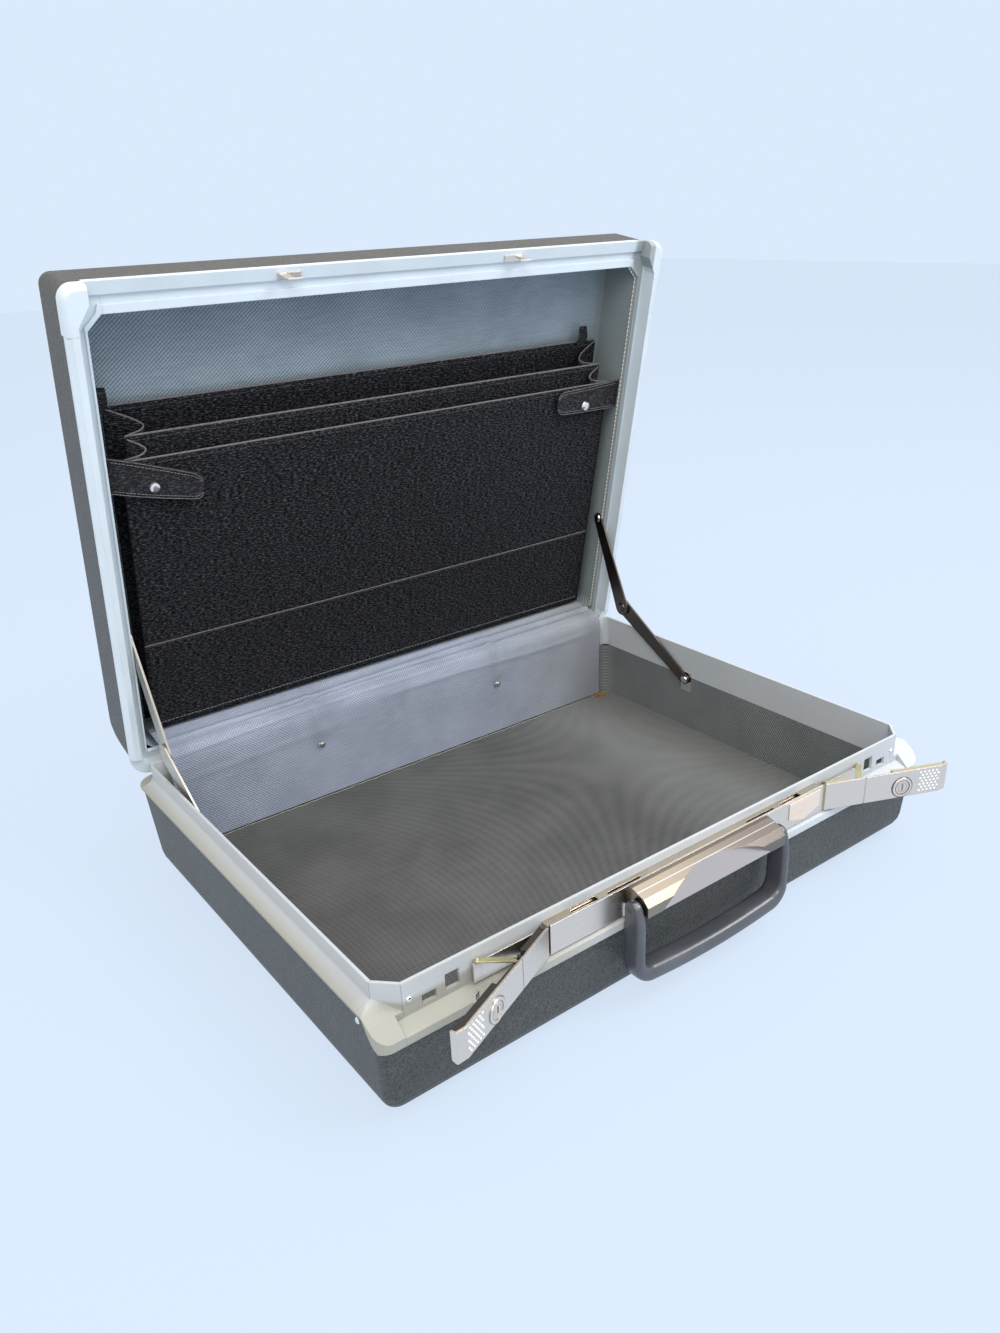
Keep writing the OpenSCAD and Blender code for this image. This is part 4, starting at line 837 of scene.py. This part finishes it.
piping_core = cord(lip_line(15.3, 13.3), LID_OUT, 0.5, 0.5)
piping = stitches(lip_line(15.2, 13.0), pitch=3.4, length=2.7, r=0.62)
make_piece("lid_piping_core", *piping_core, "lid", thread, "lining")
make_piece("lid_piping", *piping, "lid", cream_thread, "lining")
rng = np.random.default_rng(7)
fibres = []
for _ in range(FIBRES):
    start = np.array([FRAY_X + rng.normal(0, 3.2), FRAY_Y + rng.normal(0, 1.6), FRAY_Z])
    angle, length = rng.uniform(0, 2 * pi), rng.uniform(3, 8)
    t = np.linspace(0, 1, 7)[:, None]
    arch = np.array([0, 0, 1]) * (2.2 * np.sin(pi * t) * rng.uniform(0.2, 1))
    curl = np.array([cos(angle), sin(angle), 0]) * length * t + arch
    fibres.append(cord((start + curl) / 1000, (0, 0.2, 1), 0.16, 0.16, 5))
make_piece("frayed_corner", *merged(fibres), "base", ochre, "lining")

# %% [markdown]
# ## Handle
# The grip is one moulded bar bent into a U. Its path is two straight arms, two round corners and the
# grip; its profile is a rounded rectangle that is deepest along the grip and closes to a round end at
# each pivot.

# %% Handle surface
HANDLE_HALF, HANDLE_TOP, HANDLE_LOW, HANDLE_Y = 62.8, 75.3, 20.3, -178.2
BEND, BOW = 11.5, 2.8  # radius of the round corners, and how far the grip bows down at its middle
ARM_WIDE, GRIP_WIDE = 3.1, 5.7  # half widths as seen from the front
DEEP, TOP_DEEP = 7.5, 5.4  # half widths as seen from the side, below and at the pivots


def handle_surface():
    """A superellipse along arm, arc and z = low + bow (x / x_end)^2, with half widths that follow z."""
    arm = np.linspace(HANDLE_TOP, HANDLE_LOW + BOW + BEND, 40, endpoint=False)
    turn = np.linspace(pi, 1.5 * pi, 24, endpoint=False)
    corner = np.stack([np.cos(turn), 1 + np.sin(turn)], -1) * BEND + [BEND - HANDLE_HALF, HANDLE_LOW + BOW]
    left = np.vstack([np.stack([np.full(40, -HANDLE_HALF), arm], -1), corner])
    x = np.linspace(BEND - HANDLE_HALF, HANDLE_HALF - BEND, 61)
    grip = np.stack([x, HANDLE_LOW + BOW * (x / x[-1]) ** 2], -1)
    path = np.vstack([left, grip, (left * [-1, 1])[::-1]])
    z = path[:, 1]
    near_top = np.clip((z - 58) / 17, 0, 1) ** 1.5
    grip_share = np.clip(1 - (z - HANDLE_LOW - BOW) / 14, 0, 1)
    cap = np.sqrt(np.clip(1 - (np.clip(z - (HANDLE_TOP - 5.2), 0, None) / 5.4) ** 2, 0.02, 1))
    wide = (ARM_WIDE + (GRIP_WIDE - ARM_WIDE) * grip_share) * np.clip(cap + 0.25, 0, 1)
    deep = (DEEP + (TOP_DEEP - DEEP) * near_top) * cap
    points = np.stack([path[:, 0], HANDLE_Y + 2.1 * near_top, z], -1) / 1000
    return sweep(points, ring(1, 1, 32, 3.2), (0, -1, 0), np.stack([deep, wide], -1) / 1000)


handle = make_piece("handle_grip", *capped(handle_surface()), "handle", grip_plastic, "handle_plastic")
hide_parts("handle")

# %% [markdown]
# ## Grip dots and lock details on the levers
# The end of each lever carries rows of raised diamonds for the thumb. A diamond is a low pyramid with
# four faces, repeated on a staggered grid and turned with the open lever.

# %% Raised dots
LEVER_X, LEVER_Y, LEVER_OPEN = 120.8, -166.0, radians(23.5)
DOTS_FROM, DOT_PITCH, DOTS_LOW, DOT_ROW = 71.2, 3.0, 63.4, 2.35
DOT_R, DOT_FOOT, DOT_TOP = 0.95, 3.6, 4.2
LOCK_AT, LOCK_Z = 57.6, 68.4


def on_lever(side, along, out, z):
    """Millimetres along the open lever and out from its pivot line to metres, turned by LEVER_OPEN."""
    along, out, z = np.broadcast_arrays(np.asarray(along, float), out, z)
    x = LEVER_X + along * cos(LEVER_OPEN) - out * sin(LEVER_OPEN)
    y = LEVER_Y - along * sin(LEVER_OPEN) - out * cos(LEVER_OPEN)
    return np.stack([side * x, y, z], -1) / 1000


def dots(side):
    """Pyramids on a grid of 5 by 7 whose odd rows are shifted by half a pitch."""
    i, j = np.meshgrid(np.arange(5), np.arange(7), indexing="ij")
    along = (DOTS_FROM + DOT_PITCH * i + DOT_PITCH / 2 * (j % 2)).ravel()
    z = (DOTS_LOW + DOT_ROW * j).ravel()
    foot = [(along - DOT_R, z), (along, z - DOT_R), (along + DOT_R, z), (along, z + DOT_R)]
    corners = [on_lever(side, a, DOT_FOOT, h) for a, h in foot] + [on_lever(side, along, DOT_TOP, z)]
    start = np.arange(len(along))[:, None, None] * len(corners)
    order = np.array([[0, 1, 4], [1, 2, 4], [2, 3, 4], [3, 0, 4]])
    faces = (start + (order[:, ::-1] if side > 0 else order)[None]).reshape(-1, 3)
    return np.stack(corners, 1).reshape(-1, 3), faces


def lock_rings(side):
    """Turned grooves round the keyhole, as thin dark rings (radius, out, half width) on the lock's face."""
    t = np.linspace(0, 2 * pi, 49)
    out = on_lever(side, 0, 1, 0) - on_lever(side, 0, 0, 0)
    return merged([cord(on_lever(side, LOCK_AT + r * np.cos(t), face, LOCK_Z + r * np.sin(t)), out, w, w)
                   for r, face, w in ((7.5, 3.85, 0.28), (5.2, 4.35, 0.22), (3.2, 4.15, 0.14))])


for side, name in ((-1, "left"), (1, "right")):
    make_piece(f"lever_dots_{name}", *dots(side), f"lever_{name}", diamond, "nickel", smooth=False)
    make_piece(f"lock_rings_{name}", *lock_rings(side), f"lever_{name}", steel, "nickel")

# %% [markdown]
# ## Floor, backdrop and light
# The stage is one pale blue sheet. Its material shows the camera and the metal a plain light colour, by
# way of Light Path, while it still takes the case's soft shadow. A large soft lamp stands for a window
# on the left, a smaller one on the right draws the highlight along the grip, a third hangs overhead,
# and the world fills the shadows.

# %% Stage
PALE = (219, 234, 252)
STAGE_HALF = 6
stage_finish = Finish("pale_stage", roughness=0.9, specular_ior_level=0.0)
stage_finish.shader.inputs["Base Color"].default_value = shade(PALE, 0.68)
stage_corners = [(STAGE_HALF * i, STAGE_HALF * j, 0) for i, j in ((-1, -1), (1, -1), (1, 1), (-1, 1))]
floor = make_piece("studio_floor", stage_corners, [[0, 1, 2, 3]], None, stage_finish, None)
tree = stage_finish.tree
path = tree.nodes.new("ShaderNodeLightPath")
glossy = Value(stage_finish, path.outputs["Is Glossy Ray"])
seen = Value(stage_finish, path.outputs["Is Camera Ray"]).math("MAXIMUM", glossy)
glow = tree.nodes.new("ShaderNodeEmission")
glow.inputs["Color"].default_value = to_linear(*PALE)
blend = tree.nodes.new("ShaderNodeMixShader")
share = seen * 0.85
tree.links.new(share.socket, blend.inputs[0])
tree.links.new(stage_finish.shader.outputs[0], blend.inputs[1])
tree.links.new(glow.outputs[0], blend.inputs[2])
tree.links.new(blend.outputs[0], tree.nodes["Material Output"].inputs["Surface"])

# %% World and lamps
ROOM = {"backdrop": to_linear(*PALE), "mirrored": (0.94, 0.92, 0.91, 1), "fill": (0.96, 0.97, 1.0, 1)}
world = bpy.data.worlds.new("studio")
bpy.context.scene.world = world
world.use_nodes = True
world_tree = world.node_tree
world_tree.nodes.clear()
rooms = {}
for key, colour in ROOM.items():
    rooms[key] = world_tree.nodes.new("ShaderNodeBackground")
    rooms[key].inputs["Color"].default_value = colour
paths = world_tree.nodes.new("ShaderNodeLightPath")
pick, shown = (world_tree.nodes.new("ShaderNodeMixShader") for _ in range(2))
world_out = world_tree.nodes.new("ShaderNodeOutputWorld")
world_tree.links.new(paths.outputs["Is Glossy Ray"], pick.inputs[0])
world_tree.links.new(rooms["fill"].outputs[0], pick.inputs[1])
world_tree.links.new(rooms["mirrored"].outputs[0], pick.inputs[2])
world_tree.links.new(paths.outputs["Is Camera Ray"], shown.inputs[0])
world_tree.links.new(pick.outputs[0], shown.inputs[1])
world_tree.links.new(rooms["backdrop"].outputs[0], shown.inputs[2])
world_tree.links.new(shown.outputs[0], world_out.inputs["Surface"])


def lamp(name, place, target, size, watts, colour):
    """A square area lamp, size metres wide, that faces its target."""
    data = bpy.data.lights.new(name, "AREA")
    data.size, data.energy, data.color = size, watts, colour
    obj = bpy.data.objects.new(name, data)
    bpy.context.scene.collection.objects.link(obj)
    obj.location = place
    obj.rotation_euler = (Vector(target) - Vector(place)).to_track_quat("-Z", "Y").to_euler()


lamp("window", (-1.2, -1.5, 1.9), (0, 0, 0.12), 1.6, 34, (1.0, 0.98, 0.95))
lamp("side_window", (1.25, -1.15, 1.75), (0, -0.1, 0.1), 0.9, 24, (0.90, 0.95, 1.0))
lamp("ceiling", (0.6, -0.3, 2.2), (0, 0.1, 0.1), 1.8, 20, (0.98, 0.99, 1.0))
